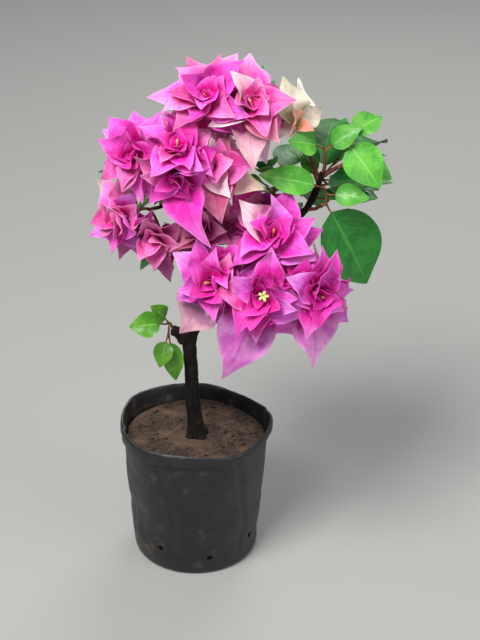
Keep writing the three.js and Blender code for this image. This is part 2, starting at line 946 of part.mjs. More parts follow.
// A filler's leaves stand round its twig at the golden angle, larger at the foot than at the tip
function fillerPlan([mass, filler]) {
  const random = seeded(filler.seed);
  const tip = vector(filler.tip);
  const root = limbPoint(filler.parent, filler.share);
  const way = tip.clone().sub(root).normalize();
  const girth = limbs[filler.parent].radii[0];
  const start = root.clone().addScaledVector(way, girth + joinGap);
  const clock = clockAbout(way);
  const blades = [];
  for (let i = 0; i < filler.leafCount; i++) {
    const share = 0.3 + (0.7 * (i + 1)) / filler.leafCount;
    const angle = 137.5 * i + 40 * random();
    const open = 74 - 40 * share + 20 * random();
    const length = 58 - 18 * share + 8 * random();
    const { along } = bladeAbout(start, way, clock(angle), open, length, 0);
    const azimuth = THREE.MathUtils.radToDeg(Math.atan2(along.x, -along.y));
    const elevation = THREE.MathUtils.radToDeg(Math.asin(along.z)) * 0.7;
    const leaf = { aim: [azimuth, elevation], length, width: length * 0.68, roll: 30 * (random() - 0.5) };
    blades.push(leafAt(start.clone().lerp(tip, Math.min(share, 1)), leaf, shapes.backLeaf));
  }
  return { mass, core: [twig(start, tip, 1.2)], free: [], blades, colour: colours.leaf, roughness: 0.35 };
}

// Lays a plan's blades clear of everything in taken, joins it all, and cuts its stem back from the wood
function massSolid({ mass, core, free, blades }, taken) {
  const pieces = [...core];
  for (const { blade, shape, stalk } of blades) {
    if (stalk && !farFrom(stalk, taken, joinGap)) continue;
    const piece = fitted(mass, blade, shape, taken, free);
    if (!piece) continue;
    pieces.push(piece);
    if (stalk) pieces.push(stalk);
  }
  let solid = wasm.Manifold.union(pieces);
  for (const [name, there] of wood) {
    if (solid.minGap(there, joinGap) < joinGap) solid = solid.subtract(grownLimb(name, joinGap));
  }
  return fused([solid]);
}

const plant = new THREE.Group();
plant.add(meshOf("nursery_bag", bagSolid(), colours.bag, 0.45));
plant.add(meshOf("soil", soilSolid(), colours.soil, 0.95));
for (const [name, solid] of wood) {
  const young = name.startsWith("shoot") || name.startsWith("stalk");
  plant.add(meshOf(name, solid, young ? colours.youngStem : colours.bark, 0.8));
}

const plans = [
  ...Object.entries(clusters).map(bloomPlan),
  ...Object.entries(sprays).map(sprayPlan),
  ...Object.entries(fillers).map(fillerPlan),
];
const laid = [];
plans.forEach((plan, i) => {
  const coresAhead = plans.slice(i + 1).flatMap((other) => other.core);
  const solid = massSolid(plan, [...wood.values(), ...laid, ...coresAhead]);
  laid.push(solid);
  plant.add(meshOf(plan.mass, solid, plan.colour, plan.roughness));
});

export default plant;
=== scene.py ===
import math
import bpy
import numpy as np
from mathutils import Matrix, Quaternion, Vector, noise
from mathutils.bvhtree import BVHTree


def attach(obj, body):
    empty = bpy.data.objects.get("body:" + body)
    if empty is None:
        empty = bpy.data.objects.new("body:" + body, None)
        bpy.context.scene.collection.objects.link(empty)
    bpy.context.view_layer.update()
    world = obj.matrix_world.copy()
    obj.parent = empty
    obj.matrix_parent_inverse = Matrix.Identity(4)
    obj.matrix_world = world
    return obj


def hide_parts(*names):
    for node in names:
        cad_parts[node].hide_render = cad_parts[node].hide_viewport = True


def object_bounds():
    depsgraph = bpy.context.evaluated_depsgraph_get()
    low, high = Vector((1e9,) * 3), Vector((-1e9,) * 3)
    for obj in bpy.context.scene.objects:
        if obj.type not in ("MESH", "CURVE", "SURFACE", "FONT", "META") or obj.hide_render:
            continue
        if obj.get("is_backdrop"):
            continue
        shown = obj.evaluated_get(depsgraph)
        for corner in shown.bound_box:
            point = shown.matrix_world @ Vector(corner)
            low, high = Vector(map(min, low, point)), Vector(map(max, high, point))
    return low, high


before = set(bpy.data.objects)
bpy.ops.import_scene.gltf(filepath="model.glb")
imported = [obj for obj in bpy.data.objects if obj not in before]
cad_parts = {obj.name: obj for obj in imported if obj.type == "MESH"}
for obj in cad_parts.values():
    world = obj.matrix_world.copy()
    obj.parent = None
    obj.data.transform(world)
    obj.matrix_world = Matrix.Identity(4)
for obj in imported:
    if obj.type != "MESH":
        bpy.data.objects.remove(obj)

# A young double-bracted bougainvillea in a black nursery bag. Lists of places and lengths are in
# millimetres, as in the part, and become metres where they are used.
mm = 0.001
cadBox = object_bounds()

# camera, light and floor

studio = {
    "cameraFrom": [31, -1087.6, 817.1],  # where the photograph was taken from
    "cameraTo": [38, 0, 214],
    "tallView": 23.2,  # degrees across the picture's height
    "floorSize": 9000,
    "floorTone": (0.34, 0.34, 0.33),
    "worldTone": (0.93, 0.96, 1.0),
    "worldStrength": 0.30,
    "lights": {
        # place, what it looks at, size, watts, tone
        "skylightLeft": ([-560, -820, 1750], [20, 0, 280], 800, 46, (1.0, 0.99, 0.97)),
        "fillRight": ([1250, -800, 820], [20, 0, 280], 1000, 7.5, (0.93, 0.96, 1.0)),
        "backGlow": ([420, 1250, 1350], [20, 0, 300], 900, 13, (1.0, 0.99, 0.96)),
    },
}


def place(numbers):
    return Vector(numbers) * mm


def lookAlong(start, end):
    return (end - start).to_track_quat("-Z", "Y").to_euler()


def setUpStudio():
    start, end = place(studio["cameraFrom"]), place(studio["cameraTo"])
    bpy.ops.object.camera_add(location=start, rotation=lookAlong(start, end))
    camera = bpy.context.object
    camera.name = "photographCamera"
    camera.data.angle = math.radians(studio["tallView"])
    bpy.context.scene.camera = camera
    for name, (spot, aim, size, watts, hue) in studio["lights"].items():
        spot, aim = place(spot), place(aim)
        bpy.ops.object.light_add(type="AREA", location=spot, rotation=lookAlong(spot, aim))
        lamp = bpy.context.object
        lamp.name = name
        lamp.data.size = size * mm
        lamp.data.energy = watts
        lamp.data.color = hue
    world = bpy.data.worlds.new("paleRoom")
    bpy.context.scene.world = world
    world.use_nodes = True
    sky = world.node_tree.nodes["Background"]
    sky.inputs["Color"].default_value = (*studio["worldTone"], 1)
    sky.inputs["Strength"].default_value = studio["worldStrength"]
    bpy.context.scene.view_settings.view_transform = "Standard"
    print("studio: camera and", len(studio["lights"]), "lights")


setUpStudio()

# shader maths


class Wire:
    # a node's output that can be used in sums
    def __init__(self, finish, socket):
        self.finish, self.socket = finish, socket

    def sum(self, operation, *values):
        return self.finish.node("Math", {"operation": operation}, dict(enumerate(values)))

    def __add__(self, other):
        return self.sum("ADD", self, other)

    def __sub__(self, other):
        return self.sum("SUBTRACT", self, other)

    def __rsub__(self, other):
        return self.sum("SUBTRACT", other, self)

    def __mul__(self, other):
        return self.sum("MULTIPLY", self, other)

    def __abs__(self):
        return self.sum("ABSOLUTE", self)

    def fraction(self):
        return self.sum("FRACT", self)

    __radd__ = __add__
    __rmul__ = __mul__


class Finish:
    # a material under construction
    def __init__(self, name):
        self.material = bpy.data.materials.new(name)
        self.material.use_nodes = True
        self.tree = self.material.node_tree
        self.tree.nodes.clear()

    def node(self, kind, settings=None, sockets=None, out=0):
        made = self.tree.nodes.new("ShaderNode" + kind)
        for name, value in (settings or {}).items():
            setattr(made, name, value)
        for name, value in (sockets or {}).items():
            if isinstance(value, Wire):
                self.tree.links.new(value.socket, made.inputs[name])
            else:
                made.inputs[name].default_value = value
        return Wire(self, made.outputs[out]) if made.outputs else None

    def mixed(self, factor, first, second, how="MIX"):
        settings = {"data_type": "RGBA", "blend_type": how}
        return self.node("Mix", settings, {0: factor, 6: first, 7: second}, 2)

    def between(self, value, low, high):
        # 0 below low and 1 above high, with a soft change
        settings = {"interpolation_type": "SMOOTHSTEP"}
        return self.node("MapRange", settings, {0: value, 1: low, 2: high, 3: 0.0, 4: 1.0})

    def here(self):
        return self.node("TexCoord", out=3)

    def stretched(self, scale, where=None):
        return self.node("Mapping", {}, {"Vector": where or self.here(), "Scale": scale})

    def clouds(self, scale, detail=3.0, where=None, rough=0.55):
        sockets = {"Vector": where or self.here(), "Scale": scale, "Detail": detail, "Roughness": rough}
        return self.node("TexNoise", {}, sockets)

    def reading(self, name):
        # a number kept on the mesh
        return self.node("Attribute", {"attribute_name": name}, out=2)

    def surface(self, sockets, height=None, depth=0.001):
        if height is not None:
            sockets["Normal"] = self.node("Bump", {}, {"Strength": 1.0, "Distance": depth, "Height": height})
        shader = self.node("BsdfPrincipled", {}, sockets)
        self.node("OutputMaterial", {}, {"Surface": shader})
        return self.material


def tone(hexed):
    # a colour as seen on a screen, made linear
    parts = [int(hexed[i:i + 2], 16) / 255 for i in (0, 2, 4)]
    return tuple(p / 12.92 if p <= 0.04045 else ((p + 0.055) / 1.055) ** 2.4 for p in parts) + (1.0,)


# hand tools


def pick(piece):
    bpy.ops.object.select_all(action="DESELECT")
    piece.select_set(True)
    bpy.context.view_layer.objects.active = piece


def named(name):
    piece = bpy.context.object
    piece.name = piece.data.name = name
    return piece


def applied(piece, kind, **settings):
    pick(piece)
    modifier = piece.modifiers.new(kind.lower(), kind)
    for key, value in settings.items():
        setattr(modifier, key, value)
    bpy.ops.object.modifier_apply(modifier=modifier.name)


def copied(source, *moves):
    # a copy with a mesh of its own
    copy = source.copy()
    copy.data = source.data.copy()
    for move in moves:
        copy.data.transform(move)
    bpy.context.collection.objects.link(copy)
    return copy


def joined(name, pieces):
    pick(pieces[0])
    for piece in pieces:
        piece.select_set(True)
    if len(pieces) > 1:
        bpy.ops.object.join()
    return named(name)


def enterEdit():
    bpy.ops.object.mode_set(mode="EDIT")
    bpy.ops.mesh.select_all(action="SELECT")


def leaveEdit():
    bpy.ops.object.mode_set(mode="OBJECT")


def ringsUp(name, sides, profile):
    # a round piece: a ring on the base, extruded and resized through each (radius, height) of its profile
    radius, height = profile[0]
    bpy.ops.mesh.primitive_circle_add(vertices=sides, radius=radius * mm, location=(0, 0, 0))
    piece = named(name)
    enterEdit()
    bpy.ops.transform.translate(value=(0, 0, height * mm))
    bpy.ops.mesh.edge_face_add()
    bpy.ops.mesh.inset(thickness=radius * 0.5 * mm)
    bpy.ops.mesh.poke()
    bpy.ops.mesh.select_all(action="DESELECT")
    leaveEdit()
    for edge in piece.data.edges:
        ends = [piece.data.vertices[i].co for i in edge.vertices]
        edge.select = all(abs(end.xy.length - radius * mm) < 1e-6 for end in ends)
    bpy.ops.object.mode_set(mode="EDIT")
    bpy.ops.mesh.select_mode(type="EDGE")
    for (before, low), (after, high) in zip(profile, profile[1:]):
        bpy.ops.mesh.extrude_edges_move(TRANSFORM_OT_translate={"value": (0, 0, (high - low) * mm)})
        share = after / before
        bpy.ops.transform.resize(value=(share, share, 1), center_override=(0, 0, high * mm))
    bpy.ops.mesh.edge_face_add()
    bpy.ops.mesh.poke()
    bpy.ops.mesh.select_mode(type="VERT")
    bpy.ops.mesh.select_all(action="SELECT")
    bpy.ops.mesh.normals_make_consistent(inside=False)
    leaveEdit()
    return piece


def moveEach(piece, newPlace):
    for vertex in piece.data.vertices:
        vertex.co = newPlace(vertex.co.copy())
    piece.data.update()


def finishPiece(piece, materials, slotName, *nodes, smooth):
    pick(piece)
    bpy.ops.object.shade_smooth_by_angle(angle=math.radians(smooth))
    piece.data.materials.clear()
    for material in materials:
        piece.data.materials.append(material)
    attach(piece, "root")
    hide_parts(*nodes)


# the way things point, and chance


def seeded(seed):
    state = [seed]

    def draw():
        state[0] = (state[0] * 1664525 + 1013904223) % 4294967296
        return state[0] / 4294967296

    return draw


def wayOf(azimuth, elevation):
    # azimuth 0 is -Y, 90 is +X
    azimuth, elevation = math.radians(azimuth), math.radians(elevation)
    level = math.cos(elevation)
    return Vector((math.sin(azimuth) * level, -math.cos(azimuth) * level, math.sin(elevation)))


def aimOf(way, lean):
    # the azimuth of a direction, and its elevation brought nearer to level
    return [math.degrees(math.atan2(way.x, -way.y)), math.degrees(math.asin(way.z)) * lean]


def opened(axis, side, degrees):
    # at 0 degrees along the axis, at 90 along the side
    return axis * math.cos(math.radians(degrees)) + side * math.sin(math.radians(degrees))


def topOf(axis):
    return (Vector((0, 0, 1)) - axis * axis.z).normalized()


def clockAbout(axis):
    # the direction of each angle on a clock face that looks along an axis, clockwise from the top
    top = topOf(axis)
    right = top.cross(axis)
    return lambda degrees: opened(top, right, degrees)


def curvePoint(points, share):
    # a smooth curve through the points
    along = (len(points) - 1) * share
    i = min(int(along), len(points) - 2)
    w = along - i
    b, c = points[i], points[i + 1]
    a = points[i - 1] if i else 2 * b - c
    d = points[i + 2] if i + 2 < len(points) else 2 * c - b
    first, middle, last = [math.sqrt((q - p).length) for p, q in ((a, b), (b, c), (c, d))]
    leave = ((b - a) / first - (c - a) / (first + middle) + (c - b) / middle) * middle
    reach = ((c - b) / middle - (d - b) / (middle + last) + (d - c) / last) * middle
    bend = b * (2 * w**3 - 3 * w**2 + 1) + leave * (w**3 - 2 * w**2 + w)
    return bend + c * (3 * w**2 - 2 * w**3) + reach * (w**3 - w**2)


# nursery bag

bag = {
    "height": 120,
    "footRadius": 52,
    "rimRadius": 61,
    "film": 1.3,
    "sides": 144,
    "lipDrop": 7,
    "underLip": [(0, -0.4), (0.5, -0.1), (1.76, -0.9), (2.2, -0.2), (2.09, 2)],  # out from the wall, and up
    "overLip": [(1.54, -2.4), (1.1, -0.8), (0.22, 0), (-0.78, -0.3)],
    "rimRise": 2.6,
    "folds": 5,
    "foldDepth": 1.3,
    "pleats": [(0.35, 1.1), (1.9, 0.8), (3.45, 1.2), (4.3, 0.7), (5.4, 1.0)],  # angle and depth
    "pleatWidth": 0.045,
    "crumple": 1.5,
    "mostInward": 1.6,
    "rimRipple": 0.7,
    "holes": 8,
    "holeWidth": 5,
    "holeHeight": 17,
}


def wallRadius(z):
    return bag["footRadius"] + (bag["rimRadius"] - bag["footRadius"]) * z / bag["height"]


def softenedPlace(spot):
    # the soft shape of the film, the same for the bag and for the soil in it
    angle = math.atan2(spot.y, spot.x)
    rise = spot.z / (bag["height"] * mm)
    fold = math.sin(bag["folds"] * angle + 0.7) + 0.6 * math.sin(3 * angle + 2 * rise)
    out = 1 + rise * bag["foldDepth"] * fold / bag["rimRadius"]
    low = 1 - 1.5 * bag["lipDrop"] / bag["height"]
    lip = min(1, max(0, (rise - low) / (1 - low)))
    lip = lip * lip * (3 - 2 * lip)
    wave = math.sin(angle - 2.2) + 0.5 * math.sin(3 * angle + 1)
    return Vector((spot.x * out, spot.y * out, spot.z + lip * bag["rimRise"] * mm * wave))


def bagPlace(spot):
    # upright pleats in the wall, and a rim that ripples a little
    angle = math.atan2(spot.y, spot.x)
    rise = spot.z / (bag["height"] * mm)
    radius = spot.xy.length / mm
    inward = 0
    for at, depth in bag["pleats"]:
        turn = (angle - at - 0.12 * math.sin(4 * rise) + math.pi) % (2 * math.pi) - math.pi
        crest = math.exp(-(((turn - 0.1) / 0.07) ** 2))
        inward += depth * math.exp(-((turn / bag["pleatWidth"]) ** 2)) - 0.45 * depth * crest
    body = min(1, rise / 0.12) * (1 if radius > bag["footRadius"] * 0.7 else 0)
    crumple = noise.fractal(Vector((spot.x * 26, spot.y * 26, spot.z * 34)), 0.9, 2.1, 4)
    crease = noise.noise(Vector((spot.x * 60, spot.y * 60, spot.z * 95 + 3 * math.sin(2 * angle))))
    inward -= bag["crumple"] * (crumple + 0.25 * crease) * body
    share = 1 - min(max(inward * body, -bag["mostInward"]), bag["mostInward"]) / max(radius, 1)
    moved = softenedPlace(Vector((spot.x * share, spot.y * share, spot.z)))
    ripple = bag["rimRipple"] * noise.noise(Vector((math.cos(angle) * 3, math.sin(angle) * 3, 5)))
    moved.z += ripple * mm * max(0, rise - 0.9) * 10
    return moved


def makeBag():
    top, film, foot = bag["height"], bag["film"], bag["footRadius"]
    under = top - bag["lipDrop"]
    profile = [(foot - 5, 0), (foot - 3, 0.35), (foot - 1.2, 1.3), (wallRadius(3) - 0.2, 3)]
    profile += [(wallRadius(z), z) for z in [5, *range(9, under, 4)]]
    profile += [(wallRadius(under) + out, under + up) for out, up in bag["underLip"]]
    profile += [(wallRadius(top) + out, top + up) for out, up in bag["overLip"]]
    profile += [(wallRadius(z) - film, z) for z in range(top - 2, 6, -4)]
    profile += [(wallRadius(5) - film - 1.5, 3.4), (foot * 0.8, 2.2), (foot * 0.5, 2)]
    piece = ringsUp("nurseryBag", bag["sides"], profile)
    moveEach(piece, bagPlace)
    cutters = []
    for i in range(bag["holes"]):
        # punched drain holes, low on the wall
        turn = 2 * math.pi * (i + 0.3) / bag["holes"]
        height = (bag["holeHeight"] + (6 if i % 2 else 0)) * mm
        spot = Vector((math.cos(turn), math.sin(turn), 0)) * (foot + 1) * mm + Vector((0, 0, height))
        bpy.ops.mesh.primitive_cylinder_add(vertices=16, radius=bag["holeWidth"] / 2 * mm, depth=9 * mm,
                                            location=spot, rotation=(0, math.pi / 2, turn))
        cutters.append(bpy.context.object)
    punch = joined("punch", cutters)
    applied(piece, "BOOLEAN", operation="DIFFERENCE", object=punch, solver="EXACT")
    bpy.data.objects.remove(punch)
    finish = Finish("blackFilm")
    height = finish.node("SeparateXYZ", {}, {0: finish.here()}, 2)
    haze = finish.clouds(38.0, 4.0)
    streaks = finish.clouds(60.0, 3.0, finish.stretched((1, 1, 0.12)))
    dust = finish.between(finish.clouds(90.0, 5.0), 0.52, 0.72) * finish.between(haze, 0.4, 0.7)
    low = 1 - finish.between(height, 0.004, 0.045)
    film = finish.mixed(haze, tone("101114"), tone("1e2024"))
    film = finish.mixed(dust * 0.35 + low * dust * 0.4, film, tone("6e5a48"))
    gloss = 0.34 + 0.22 * haze + 0.25 * dust
    lines = streaks * 0.6 + finish.clouds(420.0, 2.0) * 0.25
    sockets = {"Base Color": film, "Roughness": gloss, "Specular IOR Level": 0.5}
    finishPiece(piece, [finish.surface(sockets, lines, 0.0006)], "bag_film", "nursery_bag", smooth=45)
    print("bag:", len(piece.data.polygons), "faces")


# soil

soil = {
    "top": 105,
    "edgeGap": 1.6,
    "lump": 2.2,
    "rings": 25,
    "crumbs": 240,
    "crumbWidth": 2.6,
    "crumbShares": (0.35, 1.1),  # of that width: the least, and how much more it may be
    "crumbsFrom": 13,  # clear of the stem
    "crumbsEdge": 4,  # clear of the bag
    "seed": 61,
}


def soilHeight(x, y):
    reach = min(1, max(0, (Vector((x, y)).length / mm - 8) / 12))
    lumps = noise.fractal(Vector((x * 55, y * 55, 2)), 0.8, 2.2, 4) * soil["lump"] * 0.6
    heap = 0.9 * (1 - reach)
    return (soil["top"] + heap + (lumps - 0.8) * reach) * mm


def soilPlace(spot):
    if spot.z > (soil["top"] - 0.5) * mm:
        spot.z = soilHeight(spot.x, spot.y)
    return softenedPlace(spot)


def makeSoil():
    top, rings = soil["top"], soil["rings"]
    edge = wallRadius(top) - bag["film"] - soil["edgeGap"]
    profile = [(48, 3), (wallRadius(8) - 3.2, 5), (wallRadius(60) - 3.2, 60), (edge, top - 4)]
    profile += [(edge, top - 1)] + [(edge * (1 - i / rings), top) for i in range(1, rings)]
    piece = ringsUp("pottingMix", 120, profile)
    moveEach(piece, soilPlace)
    finish = Finish("pottingMix")
    grain = finish.clouds(260.0, 6.0, rough=0.7)
    patches = finish.clouds(45.0, 3.0)
    brown = finish.mixed(finish.between(grain, 0.35, 0.68), tone("1c130d"), tone("4a3526"))
    brown = finish.mixed(finish.between(patches, 0.4, 0.7) * 0.6, brown, tone("6b5240"))
    earth = finish.surface({"Base Color": brown, "Roughness": 0.95}, grain + patches, 0.0022)
    finishPiece(piece, [earth], "potting_mix", "soil", smooth=60)
    # crumbs: one clod, copied over the top
    bpy.ops.mesh.primitive_ico_sphere_add(subdivisions=2, radius=0.5, location=(0, 0, 0))
    clod = named("clod")
    enterEdit()
    bpy.ops.transform.vertex_random(offset=0.12, seed=4)
    bpy.ops.transform.resize(value=(1, 0.8, 0.66))
    leaveEdit()
    draw = seeded(soil["seed"])
    crumbs = []
    near, (least, more) = soil["crumbsFrom"], soil["crumbShares"]
    for _ in range(soil["crumbs"]):
        turn = 2 * math.pi * draw()
        out = (near + (edge - near - soil["crumbsEdge"]) * math.sqrt(draw())) * mm
        width = soil["crumbWidth"] * (least + more * draw() ** 3) * mm
        spin = Quaternion(Vector((draw(), draw(), draw())).normalized(), 6 * draw())
        spot = Vector((out * math.cos(turn), out * math.sin(turn), 0))
        spot.z = soilHeight(spot.x, spot.y) + 0.22 * width
        move = Matrix.Translation(softenedPlace(spot)) @ spin.to_matrix().to_4x4() @ Matrix.Scale(width, 4)
        crumbs.append(copied(clod, move))
    bpy.data.objects.remove(clod)
    crumbs = joined("soilCrumbs", crumbs)
    finishPiece(crumbs, [earth], "potting_mix", "soil", smooth=60)
    print("soil:", len(piece.data.polygons) + len(crumbs.data.polygons), "faces")


makeBag()
makeSoil()

# woody limbs: each runs through its points and tapers evenly through its radii

ground = 105.3
limbs = {
    "trunk": ([[2, 0, ground], [1, 0, 118], [-1, 0, 140], [-1.5, 0, 165], [-3, 1, 190], [-6, 1, 203]],
              [9.2, 6.5, 5.9, 5.6, 5.6, 5.2]),
    "stub": ([[-6, 1, 195], [-10, 1, 201], [-16, 0, 205]], [5.2, 5, 4.4]),
    "leader": ([[-2, 1, 188], [4, 3, 214], [9, 5, 246], [13, 7, 276], [17, 8, 310]],
               [4, 3.6, 3.3, 3.1, 2.8]),
    "bough_left": ([[17, 8, 306], [8, 8, 315], [-8, 4, 322], [-22, 0, 330]], [2.5, 2.2, 2, 1.8]),
    "bough_low_left": ([[0, 6.5, 318], [-12, 8, 314], [-26, 8, 309]], [1.8, 1.7, 1.5]),
    "bough_top": ([[17, 8, 309], [21, 11, 334], [22, 12, 360], [20, 10, 383]], [2.6, 2.3, 2.1, 1.8]),
    "bough_middle": ([[21.5, 11, 338], [21, 4, 344], [19, -1, 347]], [1.7, 1.5, 1.4]),
    "bough_right": ([[10, 6, 256], [24, 5, 268], [44, 4, 276], [62, 3, 286], [78, 2, 299], [91, 1, 314],
                     [101, 2, 341]], [3.1, 3, 2.9, 2.9, 2.8, 2.7, 2.3]),
    "bough_front": ([[41, 4, 274.5], [46, -8, 274], [50, -22, 274]], [2.4, 2.2, 2]),
    "bough_centre": ([[12.5, 7, 272], [14, 0, 281], [15, -4, 289]], [1.8, 1.6, 1.5]),
    "bough_back": ([[14, 7.5, 284], [12, 22, 300], [6, 36, 320]], [2.3, 2, 1.7]),
    "bough_back_right": ([[59, 3, 284.5], [58, 17, 282], [54, 33, 274]], [2, 1.8, 1.6]),
    "stalk_upper_right": ([[98.5, 2, 333], [90, 1, 356], [81, 0, 370]], [1.5, 1.3, 1.2]),
    "shoot_right": ([[100.5, 2, 338], [111, 3, 344], [122, 4, 349]], [1.9, 1.7, 1.5]),
    "shoot_low_right": ([[88, 1, 311], [96, -1, 312], [100, -3, 316]], [1.5, 1.4, 1.3]),
    "shoot_left": ([[-12, 1, 202], [-15, 0, 206], [-17, -1, 210]], [1.3, 1.2, 1]),
}
youngLimbs = [name for name in limbs if name.startswith(("stalk", "shoot"))]
oldLimbs = [name for name in limbs if name not in youngLimbs]
wood = {
    "sides": 18,
    "stepLength": 2.2,
    "nodeApart": 19,  # swollen leaf nodes along the stems
    "nodeSwell": 0.16,
    "trunkSwell": 0.05,
    "flareLobes": 0.2,
    "flareHeight": 16,
    "voxel": 0.62,
    "fissure": 0.75,
    "lump": 1.1,
}


def tube(name, points, radii, sides, stepLength, swell=0.0, lobes=0.0):
    # a ring extruded step by step, then led along the smooth curve through the points
    points = [place(p) for p in points]
    length = sum((q - p).length for p, q in zip(points, points[1:]))
    steps = max(2, round(length / (stepLength * mm)))
    bpy.ops.mesh.primitive_circle_add(vertices=sides, radius=1, fill_type="NGON", location=(0, 0, 0))
    piece = named(name)
    enterEdit()
    for _ in range(steps):
        bpy.ops.mesh.extrude_region_move(TRANSFORM_OT_translate={"value": (0, 0, 1)})
    bpy.ops.mesh.select_all(action="SELECT")
    bpy.ops.mesh.normals_make_consistent(inside=False)
    leaveEdit()
    spots = [curvePoint(points, i / steps) for i in range(steps + 1)]
    ways = [(spots[min(i + 1, steps)] - spots[max(i - 1, 0)]).normalized() for i in range(steps + 1)]
    side = ways[0].orthogonal().normalized()
    frames = []
    for way in ways:
        side = (side - way * side.dot(way)).normalized()
        frames.append((side, way.cross(side)))

    def ledPlace(vertex):
        step = round(vertex.z)
        share = step / steps
        at = share * (len(radii) - 1)
        low = min(int(at), len(radii) - 2)
        radius = (radii[low] + (radii[low + 1] - radii[low]) * (at - low)) * mm
        apart = share * length / (wood["nodeApart"] * mm) + 0.4
        radius *= 1 + swell * math.exp(-(((apart % 1 - 0.5) * wood["nodeApart"] / 2.2) ** 2))
        if lobes:
            foot = max(0, 1 - share * length / (wood["flareHeight"] * mm)) ** 2
            radius *= 1 + lobes * foot * math.cos(4 * math.atan2(vertex.y, vertex.x) + 0.6)
        across, up = frames[step]
        return spots[step] + (across * vertex.x + up * vertex.y) * radius

    moveEach(piece, ledPlace)
    return piece


def barkFinish(name, dark, light, scar, depth):
    finish = Finish(name)
    furrows = finish.clouds(420.0, 5.0, finish.stretched((1, 1, 0.22)), 0.62)
    grain = finish.clouds(1300.0, 3.0)
    patches = finish.clouds(70.0, 3.0)
    body = finish.mixed(finish.between(furrows, 0.38, 0.66), tone(dark), tone(light))
    body = finish.mixed(finish.between(patches, 0.5, 0.72) * 0.5, body, tone(scar))
    body = finish.mixed(finish.between(grain, 0.6, 0.75) * 0.3, body, tone(scar))
    sockets = {"Base Color": body, "Roughness": 0.92 - 0.18 * furrows, "Specular IOR Level": 0.25}
    return finish.surface(sockets, furrows * 0.8 + grain * 0.3, depth)


def dented(piece, name, size, depth, level, **settings):
    texture = bpy.data.textures.new(name, "CLOUDS")
    texture.noise_scale = size * mm
    applied(piece, "DISPLACE", texture=texture, strength=depth * mm, mid_level=level, **settings)


def makeWood():
    stems = []
    for name in oldLimbs:
        shaping = (wood["trunkSwell"], wood["flareLobes"]) if name == "trunk" else (wood["nodeSwell"],)
        stems.append(tube(name + "Core", *limbs[name], wood["sides"], wood["stepLength"], *shaping))
    piece = joined("woodyStems", stems)
    applied(piece, "REMESH", mode="VOXEL", voxel_size=wood["voxel"] * mm)
    applied(piece, "SMOOTH", factor=0.5, iterations=3)
    # furrows that run up the stem, then rounder lumps
    bpy.ops.object.empty_add(location=(0, 0, 0))
    guide = bpy.context.object
    guide.scale = (1, 1, 5)
    bpy.context.view_layer.update()
    dented(piece, "furrow", 2.6, wood["fissure"], 0.55, texture_coords="OBJECT", texture_coords_object=guide)
    dented(piece, "lump", 7, wood["lump"], 0.5, texture_coords="LOCAL")
    bpy.data.objects.remove(guide)
    pick(piece)
    enterEdit()
    # one flat cut where the foot meets the soil
    bpy.ops.mesh.bisect(plane_co=(0, 0, ground * mm), plane_no=(0, 0, 1), use_fill=True, clear_inner=True)
    leaveEdit()
    # near-black tones, darker than the bark's own brown: painted shade for the trunk and boughs under the
    # crown
    bark = barkFinish("oldBarkPaintedShade", "080504", "1b120c", "2c221b", 0.0012)
    finishPiece(piece, [bark], "bark", *[name for name in oldLimbs if name != "stub"], smooth=80)
    shoots = joined("youngShoots", [tube(name + "Core", *limbs[name], 12, 1.6, 0.2) for name in youngLimbs])
    skin = barkFinish("youngBark", "401e13", "7a412d", "93654a", 0.0004)
    finishPiece(shoots, [skin], "young_stem", *youngLimbs, smooth=80)
    print("wood:", len(piece.data.polygons) + len(shoots.data.polygons), "faces")


makeWood()

# blades: bracts and leaves. A flat blade of each shape is made once, with its outline and its two maps.

bladeShapes = ("outer", "bract", "inner", "leaf", "backLeaf")
shapeRows = {
    # one number for each of these shapes
    "rows": (20, 14, 11, 18, 12),
    "columns": (12, 8, 6, 10, 8),
    "rise": (0.58, 0.58, 0.62, 0.6, 0.6),  # the less, the fuller near the foot
    "point": (0.9, 0.86, 0.74, 0.85, 0.85),  # the more, the slenderer towards the tip
    "drawn": (0.5, 0.5, 0.4, 0.25, 0.25),  # a drawn-out tip
    "cup": (0.26, 0.36, 0.5, 0.24, 0.24),
    "arch": (0.18, 0.12, 0.02, 0.22, 0.22),
    "film": (0.34, 0.32, 0.3, 0.4, 0.4),  # thickness
    "ripple": (0.11, 0.13, 0.14, 0.045, 0.045),
    "waves": (1.9, 1.6, 1.5, 1.4, 1.4),
    "crinkle": (0.012, 0.014, 0.016, 0.006, 0.006),
    "curl": (0.2, 0.3, 0.24, 0.08, 0.08),
    "twist": (24, 28, 24, 10, 10),
    "roams": (True, False, False, True, False),  # may leave its own mass's space
}
shapes = {name: {key: row[i] for key, row in shapeRows.items()} for i, name in enumerate(bladeShapes)}
crinkleWaves = ((1, 23, 4.5, 1), (1, 17, -7, 2.3), (0.7, 11, 15, 4.1))  # height, waves along, across, start
crease, bowl = 0.12, 1.8  # a sharp fold along the midrib, and a round hollow
curlFrom = 0.55  # this share of the length


def outline(share, shape):
    # half the width at a share of the length
    rise, point = shape["rise"], shape["point"]
    widest = rise / (rise + point)
    most = widest**rise * (1 - widest) ** point
    share = np.clip(share, 0, 1)
    late = np.clip((share - 0.5) / 0.5, 0, 1)
    return share**rise * (1 - share) ** point / most / 2 * (1 - shape["drawn"] * late**2 * (3 - 2 * late))


